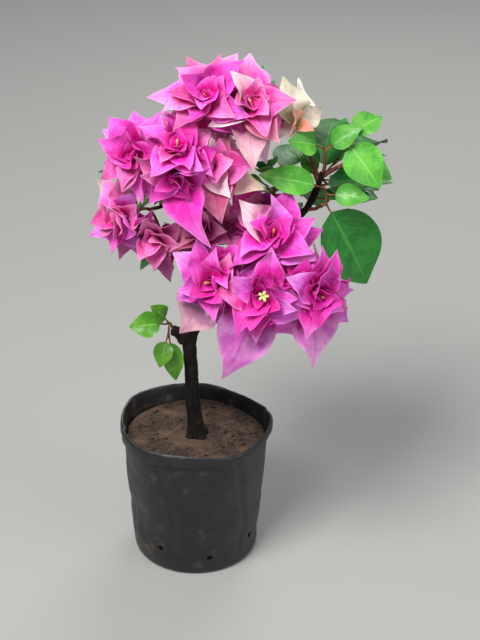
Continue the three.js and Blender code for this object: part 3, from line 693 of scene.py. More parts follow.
def makeFlat(name, shape):
    rows, columns = shape["rows"], shape["columns"]
    bpy.ops.mesh.primitive_grid_add(x_subdivisions=columns, y_subdivisions=rows, size=1, location=(0, 0, 0))
    flat = named(name + "Flat")
    flat.data.uv_layers[0].name = "bladeMap"
    enterEdit()
    bpy.ops.transform.translate(value=(0, 0.5, 0))
    bpy.ops.mesh.select_all(action="DESELECT")
    leaveEdit()
    # each row is pulled in to the outline, the end rows to a point
    for row in range(rows + 1):
        share = row / rows
        for vertex in flat.data.vertices:
            vertex.select = abs(vertex.co.y - share) < 0.2 / rows
        for edge in flat.data.edges:
            edge.select = all(flat.data.vertices[i].select for i in edge.vertices)
        bpy.ops.object.mode_set(mode="EDIT")
        width = max(1e-5, 2 * float(outline(share, shape)))
        bpy.ops.transform.resize(value=(width, 1, 1), center_override=(0, share, 0))
        bpy.ops.mesh.select_all(action="DESELECT")
        leaveEdit()
    enterEdit()
    bpy.ops.mesh.remove_doubles(threshold=1e-4)
    leaveEdit()
    sheet = [list(p.vertices) for p in flat.data.polygons]
    places = np.array([(*v.co.xy, 0) for v in flat.data.vertices])
    film = 0.02
    applied(flat, "SOLIDIFY", thickness=film, offset=0, use_rim=True)
    mesh = flat.data
    # top and underside side by side in the bake's map, with the rim between them
    bake = mesh.uv_layers.new(name="OFBake")
    blade = mesh.uv_layers["bladeMap"]
    under = mesh.attributes.new("under", "FLOAT", "FACE")
    strip = 0
    rims = sum(1 for p in mesh.polygons if abs(p.normal.z) < 0.5)
    for face in mesh.polygons:
        side = 0 if face.normal.z > 0.5 else 1 if face.normal.z < -0.5 else 2
        under.data[face.index].value = (0.0, 1.0, 0.5)[side]
        for corner, loop in enumerate(face.loop_indices):
            u, v = blade.data[loop].uv
            if side < 2:
                bake.data[loop].uv = (0.03 + 0.43 * u + 0.5 * side, 0.04 + 0.92 * v)
            else:
                bake.data[loop].uv = (0.485 + 0.03 * (corner in (1, 2)), (strip + 0.8 * (corner > 1)) / rims)
        strip += side == 2
    coords = np.array([v.co[:] for v in mesh.vertices])
    coords[:, 2] *= shape["film"] * mm / film
    mapped = np.zeros(len(mesh.loops) * 2)
    bake.data.foreach_get("uv", mapped)
    bpy.context.collection.objects.unlink(flat)
    return {"object": flat, "coords": coords, "bake": mapped.reshape(-1, 2),
            "sheet": sheet, "places": places}


flats = {name: makeFlat(name, shape) for name, shape in shapes.items()}
print("blades:", {name: len(flat["object"].data.polygons) for name, flat in flats.items()})


def bent(coords, blade, shape):
    # leads flat places onto a blade: cupped along its midrib, arched, with rippled edges and a turned tip
    share, offset = coords[:, 1], coords[:, 0]
    half = outline(share, shape)
    across = np.clip(offset / np.maximum(half, 1e-4), -1, 1)
    wide = offset * blade["width"]
    hollow = crease * (np.sqrt(wide**2 + 1e-6) - 1e-3) + bowl * wide**2 / blade["width"]
    lift = shape["cup"] * blade["cup"] * hollow
    lift -= shape["arch"] * blade["length"] * share**2
    wave = np.sin(2 * np.pi * (shape["waves"] * share + blade["phase"]) + 1.3 * np.sign(across))
    swell = half * 2
    lift += shape["ripple"] * blade["width"] * across**2 * swell * wave
    start = 2 * np.pi * blade["phase"]
    crinkle = sum(high * np.sin(a * share + b * across + c * start) for high, a, b, c in crinkleWaves)
    lift += shape["crinkle"] * blade["width"] * swell * crinkle
    late = np.clip(share - curlFrom, 0, 1)
    lift -= shape["curl"] * blade["curl"] * blade["length"] * late**2 * 2.2
    turn = np.radians(shape["twist"] * blade["twist"]) * share**2
    sideways = wide * np.cos(turn) - lift * np.sin(turn) + blade["sway"] * blade["length"] * share**2
    upward = wide * np.sin(turn) + lift * np.cos(turn) + coords[:, 2]
    spots = np.outer(share * blade["length"], blade["along"])
    spots += np.outer(sideways, blade["side"]) + np.outer(upward, blade["up"])
    return spots + np.array(blade["foot"])


def bladeOn(foot, along, up, roll, length, width, **own):
    up = Quaternion(along, math.radians(roll)) @ up
    return {"foot": foot, "along": along, "up": up, "side": along.cross(up), "length": length * mm,
            "width": width * mm, **own}


# A head is a ring of outer bracts under rosettes of smaller ones. face is azimuth and elevation. An outer
# bract is its clock angle seen from the front, how far it opens, length, width and tone. Those at the front
# end near the tips that show in the photograph.


def headAt(at, face, turn, size, outer, rosettes=1, star=False, tones=None, inner=None):
    return {"at": place(at), "axis": wayOf(*face), "turn": turn, "size": size, "outer": outer,
            "rosettes": rosettes, "star": star, "tones": tones, "inner": inner}


def bloomOn(bough, seed, young, tones, inner, *heads):
    # young counts the younger rosettes beside each head, inner is the tone of the innermost bracts
    return {"bough": bough, "seed": seed, "young": young, "tones": tones, "inner": inner, "heads": heads}


clusters = {
    "bloom_front": bloomOn(
        "bough_front", 3, 3, "hot lilac hot rose", "deep",
        headAt([54, -46, 262], [-2, 18], 0, 1.2, [
            [202, 80, 71, 44, "shaded"], [142, 94, 45, 30, "hot"], [174, 98, 38, 26, "lilac"],
            [234, 96, 38, 28, "rose"], [302, 92, 38, 28, "lilac"], [350, 90, 40, 30, "hot"],
            [44, 92, 40, 28, "hot"], [94, 96, 38, 26, "rose"]
        ], star=True),
        headAt([24, -34, 268], [-30, 12], 70, 1.15, [
            [304, 46, 42, 34, "lilac"], [236, 96, 40, 28, "hot"], [206, 98, 52, 30, "rose"],
            [212, 74, 56, 42, "mauve"], [322, 94, 34, 26, "lilac"], [262, 106, 40, 26, "dusty"],
            [170, 92, 36, 26, "hot"], [96, 92, 38, 28, "rose"]
        ]),
        headAt([90, -40, 262], [26, 14], 150, 1.1, [
            [108, 80, 38, 26, "lilac"], [142, 82, 46, 32, "lilac"], [72, 96, 36, 26, "lilac"],
            [180, 80, 61, 36, "shaded"], [38, 94, 37, 26, "hot"], [0, 98, 34, 26, "rose"],
            [222, 94, 36, 26, "hot"], [318, 92, 36, 26, "lilac"]
        ]),
        headAt([62, -26, 296], [4, 44], 110, 1.2, [
            [10, 92, 38, 28, "hot"], [82, 96, 40, 28, "hot"], [318, 40, 42, 34, "pale"],
            [46, 100, 38, 26, "lilac"], [284, 92, 36, 26, "rose"], [232, 96, 34, 24, "lilac"]
        ]),
    ),
    "bloom_centre": bloomOn(
        "bough_centre", 12, 1, "dusty salmon", "dusty",
        headAt([12, -6, 297], [-14, 34], 20, 0.95, [
            [8, 98, 27, 22, "dusty"], [236, 96, 30, 22, "dusty"], [300, 92, 26, 20, "rose"],
            [74, 96, 28, 22, "dusty"]
        ]),
    ),
    "bloom_left": bloomOn(
        "bough_left", 3, 1, "hot hot rose", "deep",
        headAt([-10, -26, 362], [6, 20], 10, 1.1, [
            [22, 96, 40, 32, "lilac"], [122, 90, 32, 24, "hot"], [170, 70, 66, 32, "hot"],
            [220, 88, 34, 26, "hot"], [68, 94, 32, 24, "rose"], [322, 92, 32, 24, "hot"]
        ], rosettes=2),
        headAt([-33, -12, 361], [-30, 24], 60, 1.2, [
            [322, 96, 40, 26, "lilac"], [288, 66, 37, 24, "hot"], [250, 84, 38, 24, "hot"],
            [216, 96, 36, 26, "rose"], [4, 92, 34, 24, "lilac"], [176, 92, 32, 24, "hot"]
        ]),
    ),
    "bloom_low_left": bloomOn(
        "bough_low_left", 14, 1, "dusty rose dusty", "rose",
        headAt([-42, 4, 307], [-46, 0], 60, 1.15, [
            [250, 60, 42, 28, "lilac"], [232, 60, 45, 24, "lilac"], [306, 60, 38, 32, "fading"],
            [200, 62, 46, 22, "dusty"], [334, 70, 38, 30, "fading"], [176, 84, 36, 24, "dusty"]
        ], tones="lilac hot rose"),
        headAt([-24, -4, 298], [-12, -10], 90, 1.1, [
            [178, 80, 52, 26, "dusty"], [146, 86, 38, 24, "dusty"], [212, 84, 42, 24, "rose"],
            [90, 90, 30, 24, "dusty"]
        ]),
    ),
    "bloom_middle": bloomOn(
        "bough_middle", 5, 1, "salmon pale rose", "rose",
        headAt([16, -12, 350], [4, 28], 80, 1.2, [
            [120, 62, 42, 26, "cream"], [338, 96, 36, 28, "pale"], [26, 98, 36, 28, "pale"],
            [222, 94, 32, 24, "salmon"], [168, 92, 36, 26, "salmon"], [76, 96, 34, 26, "rose"]
        ]),
    ),
    "bloom_top": bloomOn(
        "bough_top", 6, 1, "rose hot rose", "hot",
        headAt([16, 0, 398], [-8, 38], 15, 1.25, [
            [278, 80, 46, 28, "lilac"], [334, 96, 41, 28, "rose"], [22, 92, 46, 28, "rose"],
            [240, 92, 36, 26, "rose"], [184, 90, 40, 28, "rose"], [130, 94, 36, 26, "pale"],
            [62, 98, 38, 26, "lilac"]
        ]),
        headAt([42, -2, 394], [18, 34], 60, 1.2, [
            [30, 96, 40, 26, "rose"], [80, 96, 41, 28, "pale"], [112, 92, 38, 26, "salmon"],
            [190, 64, 50, 28, "fading"], [152, 98, 42, 26, "pale"], [340, 90, 34, 24, "hot"]
        ], tones="rose salmon pale", inner="rose"),
    ),
    "young_bracts": bloomOn(
        "stalk_upper_right", 17, 0, "young", "bud",
        headAt([79, 1, 380], [30, 30], 60, 0.7, [
            [352, 64, 36, 27, "young"], [34, 76, 36, 25, "blush"], [76, 84, 27, 18, "young"],
            [330, 24, 22, 14, "bud"], [150, 20, 18, 12, "bud"], [180, 80, 22, 15, "blush"],
            [286, 96, 24, 16, "blush"]
        ], rosettes=0),
    ),
    "bloom_back": bloomOn(
        "bough_back", 7, 3, "rose lilac hot", "hot",
        headAt([-2, 46, 340], [198, 24], 0, 1.2, [
            [30, 96, 44, 30, "lilac"], [92, 94, 40, 28, "rose"], [150, 92, 50, 30, "rose"],
            [212, 94, 46, 28, "lilac"], [270, 96, 42, 30, "hot"], [326, 98, 38, 28, "rose"]
        ], rosettes=2),
    ),
    "bloom_back_right": bloomOn(
        "bough_back_right", 9, 3, "hot rose", "deep",
        headAt([54, 50, 270], [158, 14], 45, 1.2, [
            [70, 94, 42, 28, "hot"], [120, 94, 40, 26, "rose"], [168, 90, 50, 30, "lilac"],
            [222, 94, 44, 28, "lilac"], [286, 96, 38, 26, "rose"]
        ], rosettes=2),
    ),
}

# a bough and the stem that goes on from it. Each leaf leaves the stem at a share of its length: aim is
# azimuth and elevation, then length, width and roll.
sprays = {
    "leaves_right": ("shoot_right", [[122, 3, 353], [116, 0, 370]], [
        [1, [50, -40], 38, 31, 40, "bright"], [1, [116, 24], 28, 20, 40, "bright"],
        [0.1, [84, -24], 30, 18, 50, "bright"], [0.2, [150, 0], 48, 32, 0, "deep"]
    ]),
    "leaves_top_right": ("bough_right", [[102, 1, 348], [101, 0, 362]], [
        [1, [-56, 26], 28, 24, -60, "bright"], [0.8, [80, 40], 26, 18, 60, "bright"],
        [0.6, [168, 20], 46, 32, 0, "deep"]
    ]),
    "leaves_low_right": ("shoot_low_right", [[104, -3, 317], [102, -8, 333]], [
        [0, [94, -62], 80, 52, 66, "mid"], [0.6, [66, 6], 26, 18, 50, "bright"],
        [1, [-84, 16], 42, 22, -60, "bright"], [0.1, [158, -10], 46, 32, 0, "deep"]
    ]),
    "leaves_left_shoot": ("shoot_left", [[-18, -3, 213], [-19, -5, 205]], [
        [0, [-75, 4], 24, 21, -56, "lime"], [0, [-44, 52], 18, 15, -80, "lime"],
        [1, [26, -70], 33, 17, 10, "lime"], [0.9, [-24, -50], 21, 16, -20, "lime"]
    ]),
}

# leafy twigs that fill the back of the crown, where a seeded rule lays the leaves: the bough and the share
# of its length where each begins, its tip, leaves and seed
fillers = {
    "leaves_back_left": ("bough_left", 0.4, [-22, 44, 322], 6, 11),
    "leaves_back_low": ("leader", 0.5, [-12, 36, 276], 6, 23),
    "leaves_back_top": ("bough_top", 0.6, [32, 42, 366], 6, 37),
    "leaves_back_far_right": ("bough_right", 0.78, [104, 40, 322], 6, 41),
    "leaves_back_right": ("bough_right", 0.5, [66, 38, 326], 5, 53),
}

filling = {
    "golden": 137.5,  # degrees from leaf to leaf
    "opening": (74, -40, 20),  # at the foot of the twig, its change to the tip, how much it varies
    "length": (58, -18, 8),
    "slender": 0.68,  # width for length
    "lean": 0.7,  # of a leaf's elevation
    "sideTwigs": 7,
    "youngLength": (22, 14),
    "youngSlender": 0.64,
}

rule = {
    # each whorl: count, opening, length, width, shape
    "whorls": [(4, 78, 30, 21, "bract"), (3, 56, 26, 19, "bract"), (3, 34, 20, 15, "inner")],
    # finer than the part carries it
    "between": [(3, 67, 27, 18, "bract"), (3, 45, 22, 16, "inner"), (2, 24, 17, 13, "inner"),
                (2, 12, 12, 10, "inner")],
    # how much turn and opening differ from bract to bract, the least size, and how much more it may be
    "whorlsVary": (20, 26, 0.86, 0.28),
    "betweenVary": (24, 22, 0.82, 0.36),
    "young": {"tilt": 56, "tiltVaries": 16, "clock": 60, "clockVaries": 40, "stalk": 15, "size": 0.8},
    "flowers": {"least": 0.7, "more": 0.3, "star": 1.3, "young": 0.5, "lean": 0.2},
    "rosetteTilt": 40,
    "rosetteStalk": 10,
    "footOut": 1.2,
    "roll": 16,
    "rollVaries": 24,
    "root": 0.42,  # this share of a blade may touch its neighbours
    "clearance": 0.9,  # from the stems
    "leafStalk": 9,
    "headReach": 34,
    "farthest": 60,
    "overlap": 8,  # of one mass's space into the next
}

# Spaces: each mass keeps to the points nearer to its own centres than to another mass's.
centres = []
for mass, cluster in clusters.items():
    centres += [(mass, head["at"], rule["headReach"]) for head in cluster["heads"]]
for mass, (_, stem, leaves) in sprays.items():
    low, high = [place(p) for p in stem]
    for share, aim, length, *_ in leaves:
        centres.append((mass, low.lerp(high, share) + wayOf(*aim) * length * 0.5 * mm, length * 0.4))
for mass, filler in fillers.items():
    centres.append((mass, place(filler[2]), rule["headReach"]))


def inSpace(mass, spot):
    own = other = math.inf
    for name, at, reach in centres:
        far = math.sqrt(max(0, (spot - at).length_squared + (rule["farthest"] ** 2 - reach**2) * mm * mm))
        if name == mass:
            own = min(own, far)
        else:
            other = min(other, far)
    return own < other + rule["overlap"] * mm


limbSpots = []
for name, (points, radii) in limbs.items():
    points = [place(p) for p in points]
    steps = 6 * len(points)
    limbSpots += [(curvePoint(points, i / steps), max(radii[1:]) * mm) for i in range(steps + 1)]


def limbPoint(name, share):
    return curvePoint([place(p) for p in limbs[name][0]], share)


laid = []  # (centre, reach, tree) of every blade so far
pieces = {mass: [] for mass in [*clusters, *sprays, *fillers]}  # the blades of each mass
twigs = []  # (points, radii)
flowers = []  # (place, way, whether it is open, size)
tries = [(scale, turn, tip) for scale in (1, 0.86, 0.72) for turn in (0, 16, -16, 32, -32)
         for tip in (0, 9, -9)]


def fitted(mass, blade, shapeName):
    # turns a blade a little either way and shrinks it until it crosses nothing, or gives it up
    flat, shape = flats[shapeName], shapes[shapeName]
    keep = flat["places"][:, 1] >= rule["root"]
    faces = [face for face in flat["sheet"] if all(keep[i] for i in face)]
    gap = rule["clearance"] * mm
    for scale, turn, tip in tries:
        tried = dict(blade, length=blade["length"] * scale, width=blade["width"] * scale)
        if "axis" in blade:
            spin = Quaternion(blade["axis"], math.radians(turn))
            spin = spin @ Quaternion(blade["side"], math.radians(tip))
            for part in ("along", "side", "up"):
                tried[part] = spin @ blade[part]
        elif turn or tip:
            continue
        spots = [Vector(s) for s in bent(flat["places"], tried, shape)]
        reaching = [spot for spot, kept in zip(spots, keep) if kept]
        if not shape["roams"] and not all(inSpace(mass, spot) for spot in reaching[::3]):
            continue
        if any((spot - at).length < radius + gap for spot in reaching[::2] for at, radius in limbSpots):
            continue
        middle = sum(reaching, Vector()) / len(reaching)
        reach = max((spot - middle).length for spot in reaching)
        tree = BVHTree.FromPolygons(spots, faces)
        near = (other for at, far, other in laid if (at - middle).length < reach + far)
        if any(tree.overlap(other) for other in near):
            continue
        laid.append((middle, reach, tree))
        return tried
    return None


def lively(blade, draw, calm=1.0):
    # the small differences between one blade and the next: the least of each, and how much more it may be
    blade["phase"] = draw()
    for name, (least, more) in {"curl": (0.2, 1.3), "twist": (-1, 2), "sway": (-0.06, 0.12)}.items():
        blade[name] = (least + more * draw()) * calm
    blade["cup"] = 0.75 + 0.6 * draw()
    blade["tint"] = draw()
    return blade


def growHead(cluster, head, random, draw):
    axis, centre = head["axis"], head["at"]
    clock = clockAbout(axis)
    tones = (head["tones"] or cluster["tones"]).split()
    found = []

    def add(hub, about, side, opening, length, width, shapeName, toneName, chance):
        roll = rule["roll"] + rule["rollVaries"] * (chance() - 0.5)
        along, up = opened(about, side, opening), opened(-side, about, opening)
        blade = bladeOn(hub + along * rule["footOut"] * mm, along, up, roll, length, width, axis=about)
        found.append((lively(blade, draw), shapeName, toneName))

    def addWhorl(hub, about, whorl, grown, first, chance, vary):
        count, spread, length, width, shapeName = whorl
        turnVaries, spreadVaries, least, more = vary
        face = clockAbout(about)
        start = 360 * chance()
        for j in range(count):
            turn = start + 360 / count * j + turnVaries * (chance() - 0.5)
            opening = spread + spreadVaries * (chance() - 0.5)
            size = grown * (least + more * chance())
            toneName = tones[(first + j) % len(tones)]
            if shapeName == "inner":
                toneName = head["inner"] or cluster["inner"]
            add(hub, about, face(turn), opening, length * size, width * size, shapeName, toneName, chance)

    for angle, opening, length, width, toneName in head["outer"]:
        add(centre, axis, clock(angle), opening, length, width, "outer", toneName, random)
    hubs = []
    for i in range(head["rosettes"]):
        angle = head["turn"] + 360 / head["rosettes"] * i
        about = opened(axis, clock(angle), rule["rosetteTilt"] if head["rosettes"] > 1 else 0)
        hub = centre + about * rule["rosetteStalk"] * mm
        hubs.append((hub, about, 1))
        for whorl in rule["whorls"]:
            addWhorl(hub, about, whorl, head["size"], i, random, rule["whorlsVary"])
    # smaller bracts between the whorls and in the heart of each rosette, then younger rosettes beside it
    young = rule["young"]
    for i in range(cluster["young"]):
        tilt = young["tilt"] + young["tiltVaries"] * (draw() - 0.5)
        angle = head["turn"] + young["clock"] + 360 / cluster["young"] * i
        angle += young["clockVaries"] * (draw() - 0.5)
        about = opened(axis, clock(angle), tilt)
        hubs.append((centre + about * young["stalk"] * mm, about, young["size"]))
    bloom = rule["flowers"]
    for order, (hub, about, share) in enumerate(hubs):
        for whorl in rule["between"]:
            addWhorl(hub, about, whorl, head["size"] * share, 0, draw, rule["betweenVary"])
        lean = bloom["lean"] * clockAbout(about)(360 * draw())
        star = order == 0 and head["star"]
        kind = bloom["star"] if star else 1 if share == 1 else bloom["young"]
        size = (bloom["least"] + bloom["more"] * draw()) * kind
        flowers.append((hub, (about + lean).normalized(), star, size))
    return found, [hub for hub, _, _ in hubs]


def addFitted(mass, blade, shapeName, toneName):
    kept = fitted(mass, blade, shapeName)
    if kept:
        pieces[mass].append((kept, shapeName, toneName))
    return kept


def growBloom(mass, cluster):
    random, draw = seeded(cluster["seed"]), seeded(cluster["seed"] * 7 + 1)
    start = limbPoint(cluster["bough"], 1)
    fork = start.lerp(cluster["heads"][0]["at"], 0.35)
    twigs.append(([start, fork], [1.5, 1.3]))
    grown = []
    for head in cluster["heads"]:
        found, hubs = growHead(cluster, head, random, draw)
        bow = Vector((0, 0, 2 * mm))
        twigs.append(([fork, fork.lerp(head["at"], 0.5) + bow, head["at"]], [1.3, 1.1, 1.2]))
        twigs.extend(([head["at"], hub], [1.1, 1.3]) for hub in hubs)
        grown += found
    grown.sort(key=lambda each: each[1] != "outer")
    for blade, shapeName, toneName in grown:
        addFitted(mass, blade, shapeName, toneName)
    print(mass + ":", len(pieces[mass]), "of", len(grown), "bracts")


def growLeaf(mass, node, aim, length, width, roll, shapeName, toneName, draw):
    along = wayOf(*aim)
    foot = node + along * (rule["leafStalk"] - 1) * mm
    blade = bladeOn(foot, along, topOf(along), roll, length, width)
    if addFitted(mass, lively(blade, draw, 0.6), shapeName, toneName):
        sag = Vector((0, 0, -0.6 * mm))
        twigs.append(([node, node.lerp(foot, 0.5) + sag, foot + along * mm], [0.9, 0.7, 0.6]))


def growSpray(mass, bough, stem, leaves):
    draw = seeded(len(mass) * 31)
    low, high = [place(p) for p in stem]
    twigs.append(([limbPoint(bough, 1), low, high], [1.3, 1.1, 0.8]))
    for share, aim, length, width, roll, toneName in leaves:
        growLeaf(mass, low.lerp(high, share), aim, length, width, roll, "leaf", toneName, draw)
    print(mass + ":", len(pieces[mass]), "leaves")


def growFiller(mass, parent, share, tip, leaves, seed):
    # leaves stand round the twig at the golden angle, larger at the foot than at the tip
    random, draw = seeded(seed), seeded(seed * 5 + 2)
    tip, root = place(tip), limbPoint(parent, share)
    way = (tip - root).normalized()
    start = root + way * (limbs[parent][1][0] + 0.3) * mm
    clock = clockAbout(way)
    twigs.append(([root, start.lerp(tip, 0.5) + Vector((0, 0, 2 * mm)), tip], [1.5, 1.3, 0.9]))
    for i in range(leaves):
        share = 0.3 + 0.7 * (i + 1) / leaves
        angle = filling["golden"] * i + 40 * random()
        opening, length = [foot + change * share + varies * random()
                           for foot, change, varies in (filling["opening"], filling["length"])]
        aim = aimOf(opened(way, clock(angle), opening), filling["lean"])
        roll = 30 * (random() - 0.5)
        growLeaf(mass, start.lerp(tip, min(share, 1)), aim, length, length * filling["slender"], roll,
                 "backLeaf", ("deep", "mid", "mid")[i % 3], draw)
    # small side twigs carry younger leaves
    for i in range(filling["sideTwigs"]):
        share = 0.35 + 0.65 * i / (filling["sideTwigs"] - 1)
        side = clock(200 + filling["golden"] * i + 30 * draw())
        base = start.lerp(tip, share)
        end = base + (way * 0.7 + side).normalized() * (10 + 10 * draw()) * mm
        before = len(pieces[mass])
        for j, toneName in enumerate(("bright", "mid")):
            aim = aimOf((way * 0.5 + side + clock(360 * draw()) * 0.6).normalized(), filling["lean"])
            least, more = filling["youngLength"]
            length = least + more * draw()
            roll = 40 * (draw() - 0.5)
            growLeaf(mass, base.lerp(end, 0.6 + 0.4 * j), aim, length, length * filling["youngSlender"],
                     roll, "backLeaf", toneName, draw)
        if len(pieces[mass]) > before:
            twigs.append(([base, end], [0.9, 0.6]))
    print(mass + ":", len(pieces[mass]), "leaves")


for mass, cluster in clusters.items():
    growBloom(mass, cluster)
for mass, spray in sprays.items():
    growSpray(mass, *spray)
for mass, filler in fillers.items():
    growFiller(mass, *filler)

# finishes of bracts and leaves: body, light patches, foot (own deeper colour and painted crease shade), tip,
# veins, underside

bractTones = {
    "hot": "f022b0 fe62dc c60070 fe9cf0 b81084 de52ac",
    "deep": "e20c94 f436c0 9c005c fa68d4 8c0460 c83298",
    "lilac": "ea46c8 f480f0 cc1494 fcb8f8 ba2c9c d060b8",
    "rose": "f03ea0 fa7ccc cc1c78 ffb8e2 b82878 e078b0",
    # a darker, muted rose for the clusters that sit low and deep in the crown: painted shade
    "dusty": "c63c8a dc70b2 96205e eea4cc 902c5f b4628e",
    "salmon": "e65890 f28ab2 cc3078 fccfd4 b44078 d88ca0",
    # a darker lilac for the big bracts that hang face down below their heads: painted shade
    "shaded": "d262bc e592d4 b2348c f6c2e8 a23a8a c87cb4",
    "pale": "efacc8 f8ccdc e07cac fbe2e4 cf82a8 dfb2b8",
    "mauve": "b8789c cda0ae a39c78 c898a0 98688c a89c80",
    "fading": "eca4bc f6ccd0 dc6c9c ccb694 c08498 d8b49c",
    "cream": "f0b8bc f6e4c4 e87090 e4e49c d49890 d2d898",
    "young": "efdcca f6eedb bccf80 aac46c cdd098 dbe0ac",
    "blush": "f6e4dc fbd0d8 e8b0a8 f8f2e4 dcb0b0 e4d8c0",
    "bud": "ea9480 f2b09c c3cf84 f0c0a8 d4786a dcac90",
}
leafTones = {
    "bright": "429a28 68b840 3a8a2c 5aac38 92cc68 70aa52",
    "mid": "197720 2d922e 146a1e 25862a 54a848 488c44",
    "deep": "17561e 266e28 1a521e 206422 488640 2f6430",
    "lime": "448a12 6aa826 3a7612 5c9c20 92be54 6c9c3c",
}
leafShine = {"bright": 0.4, "mid": 0.36, "deep": 0.12, "lime": 0.4}


def bladeFinish(name, tones, shine=0.0):
    # shine is 0 for a papery bract
    body, light, footAndCreaseShade, tipTone, veinTone, underTone = [tone(t) for t in tones.split()]
    finish = Finish(name)
    where = finish.node("UVMap", {"uv_map": "bladeMap"})
    across = finish.node("SeparateXYZ", {}, {0: where}, 0)
    along = finish.node("SeparateXYZ", {}, {0: where}, 1)
    middle = abs(across - 0.5) * 2.0
    tint = finish.reading("tint")
    patches = finish.clouds(75.0, 2.0)
    speckle = finish.clouds(700.0, 3.0)
    slant = along * 7.0 - middle * 2.4
    side = abs(slant.fraction() - 0.5) * 2.0
    laterals = finish.between(side, 0.86, 0.98) * (1 - finish.between(middle, 0.8, 1.0))
    net = finish.node("TexVoronoi", {"feature": "DISTANCE_TO_EDGE"},
                      {"Vector": finish.stretched((9, 13, 1), where), "Scale": 1.0})
    net = 1 - finish.between(net, 0.02, 0.1)
    rib = 1 - finish.between(middle, 0.03, 0.09 if shine else 0.06)
    veins = finish.node("Math", {"operation": "MAXIMUM"}, {0: laterals * 0.6 + net * 0.22, 1: rib})
    colour = finish.mixed(finish.between(patches, 0.42, 0.62) * 0.75, body, light)
    # darker towards the foot: partly the blade's own deeper colour, partly painted shade in the crease where
    # the bracts meet
    colour = finish.mixed((1 - finish.between(along, 0.02, 0.34 if shine else 0.5)) * 0.8, colour, footAndCreaseShade)
    rim = finish.between(middle, 0.7, 1.0) * 0.3
    if shine:
        rim = rim + finish.between(along, 0.72, 1.0) * 0.55
        rough = 0.34 + 0.16 * speckle + 0.18 * finish.reading("under")
        sockets = {"Coat Weight": 0.3 * shine, "Coat Roughness": 0.2, "Specular IOR Level": shine,
                   "Subsurface Weight": 0.12, "Subsurface Scale": 0.0015,
                   "Subsurface Radius": (0.5, 1.0, 0.2)}
    else:
        rim = rim + finish.between(along, 0.46, 1.0) * (0.15 + 0.5 * tint)
        rough = 0.52 + 0.16 * speckle
        sockets = {"Specular IOR Level": 0.3, "Subsurface Weight": 0.2, "Subsurface Scale": 0.002,
                   "Subsurface Radius": (1.0, 0.25, 0.6)}
    colour = finish.mixed(rim, colour, tipTone)
    colour = finish.mixed(veins * (0.55 if shine else 0.4), colour, veinTone)
    colour = finish.mixed(finish.reading("under") * 0.62, colour, underTone)
    shade = finish.mixed(tint, (0.74, 0.72, 0.78, 1), (1.14, 1.14, 1.12, 1))
    sockets["Base Color"] = finish.mixed(1.0, colour, shade, "MULTIPLY")
    sockets["Roughness"] = rough
    height = veins * (-0.5 if shine else 0.4) + speckle * 0.25 + patches * 0.4
    return finish.surface(sockets, height, 0.0005)


bractFinishes = {name: bladeFinish(name + "Bract", tones) for name, tones in bractTones.items()}
leafFinishes = {name: bladeFinish(name + "Leaf", leafTones[name], leafShine[name]) for name in leafTones}


def layPiece(name, blades, palette, slotName, mass):
    # one copy of its flat blade for each blade, bent into place, each in its own square of the bake's map
    squares = math.ceil(math.sqrt(len(blades)))
    used = sorted({toneName for _, _, toneName in blades})
    copies = []
    for i, (blade, shapeName, toneName) in enumerate(blades):
        flat = flats[shapeName]
        copy = copied(flat["object"])
        mesh = copy.data
        spots = bent(flat["coords"], blade, shapes[shapeName])
        mesh.vertices.foreach_set("co", spots.astype(np.float32).ravel())
        corner = np.array([i % squares, i // squares])
        mesh.uv_layers["OFBake"].data.foreach_set("uv", ((flat["bake"] + corner) / squares).ravel())
        tint = mesh.attributes.new("tint", "FLOAT", "POINT")
        tint.data.foreach_set("value", np.full(len(mesh.vertices), blade["tint"], np.float32))
        slots = np.full(len(mesh.polygons), used.index(toneName), np.int32)
        mesh.polygons.foreach_set("material_index", slots)
        for other in used:
            mesh.materials.append(palette[other])
        copies.append(copy)
    piece = joined(name, copies)
    places = [p.material_index for p in piece.data.polygons]
    finishPiece(piece, [palette[toneName] for toneName in used], slotName, mass, smooth=50)
    piece.data.polygons.foreach_set("material_index", places)
    return len(piece.data.polygons)


youngSlots = {"young_bracts": "young_bract", "leaves_left_shoot": "young_leaf"}
faceCount = 0
for mass, blades in pieces.items():
    first, *rest = mass.replace("bloom", "bracts").split("_")
    name = first + "".join(part.title() for part in rest)
    palette, slotName = (bractFinishes, "bract") if mass in clusters else (leafFinishes, "leaf")
    faceCount += layPiece(name, blades, palette, youngSlots.get(mass, slotName), mass)
print("bracts and leaves:", faceCount, "faces")


def makeTwigs():
    made = []
    for i, (points, radii) in enumerate(twigs):
        made.append(tube("twig" + str(i), [p / mm for p in points], radii, 7, 4.0, 0.08))
    piece = joined("twigs", made)
    skin = barkFinish("twigBark", "5d3022", "8e5a3a", "8c8a4c", 0.0003)
    finishPiece(piece, [skin], "young_stem", *pieces, smooth=80)
    print("twigs:", len(made))


makeTwigs()

# true flowers: a slender tube that ends in a small star, or a closed bud

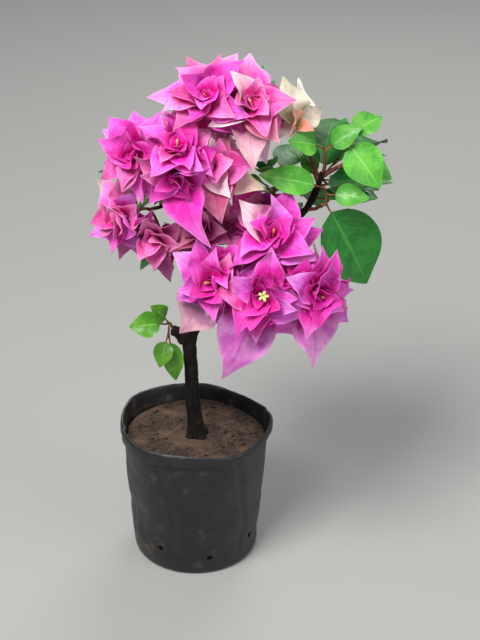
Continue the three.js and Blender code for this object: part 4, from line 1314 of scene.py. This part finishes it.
flower = {
    "open": [(0.45, 0), (0.6, 3), (0.6, 8), (0.9, 11), (0.75, 14), (1.6, 14.7), (2.6, 15), (3.0, 15.3),
             (2.6, 15.5), (1.4, 15.2), (0.5, 13.6)],
    "closed": [(0.45, 0), (0.6, 4), (0.6, 9), (1.0, 12), (0.8, 14), (0.2, 15.2)],
    "lobes": 5,
    "lobesAbove": 14.3,
    "lobesBeyond": 1.2,
    "lobeLift": 0.9,
}


def lobedPlace(spot):
    if spot.z > flower["lobesAbove"] * mm and spot.xy.length > flower["lobesBeyond"] * mm:
        lobe = abs(math.cos(flower["lobes"] / 2 * math.atan2(spot.y, spot.x)))
        spot.xy *= 0.5 + 0.75 * lobe
        spot.z += flower["lobeLift"] * mm * (lobe - 0.4)
    return spot


def makeFlowers():
    star = ringsUp("starFlower", 20, flower["open"])
    bud = ringsUp("closedFlower", 10, flower["closed"])
    moveEach(star, lobedPlace)
    made = []
    for at, way, isStar, size in flowers:
        turn = way.to_track_quat("Z", "Y").to_matrix().to_4x4()
        made.append(copied(star if isStar else bud, Matrix.Translation(at) @ turn @ Matrix.Scale(size, 4)))
    bpy.data.objects.remove(star)
    bpy.data.objects.remove(bud)
    piece = joined("trueFlowers", made)
    finish = Finish("flowerCream")
    patches = finish.clouds(300.0, 2.0)
    cream = finish.mixed(finish.between(patches, 0.4, 0.6), tone("c9c255"), tone("ece49a"))
    cream = finish.surface({"Base Color": cream, "Roughness": 0.5, "Subsurface Weight": 0.2,
                            "Subsurface Scale": 0.002}, patches, 0.0002)
    finishPiece(piece, [cream], "bract", *clusters, smooth=50)
    print("true flowers:", len(made))


makeFlowers()


def makeFloor():
    bpy.ops.mesh.primitive_circle_add(vertices=96, radius=studio["floorSize"] / 2 * mm, fill_type="NGON",
                                      location=(0, 0, -0.0002))
    floor = named("paleFloor")
    enterEdit()
    bpy.ops.mesh.inset(thickness=studio["floorSize"] * 0.3 * mm)
    leaveEdit()
    finish = Finish("paleFloor")
    floor.data.materials.append(finish.surface({"Base Color": (*studio["floorTone"], 1), "Roughness": 0.85}))
    floor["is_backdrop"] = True
    print("floor laid")


makeFloor()
for flat in flats.values():
    bpy.data.objects.remove(flat["object"])

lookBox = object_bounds()
for name, box in (("cad", cadBox), ("visual", lookBox)):
    print(name, [[round(v, 4) for v in corner] for corner in box])
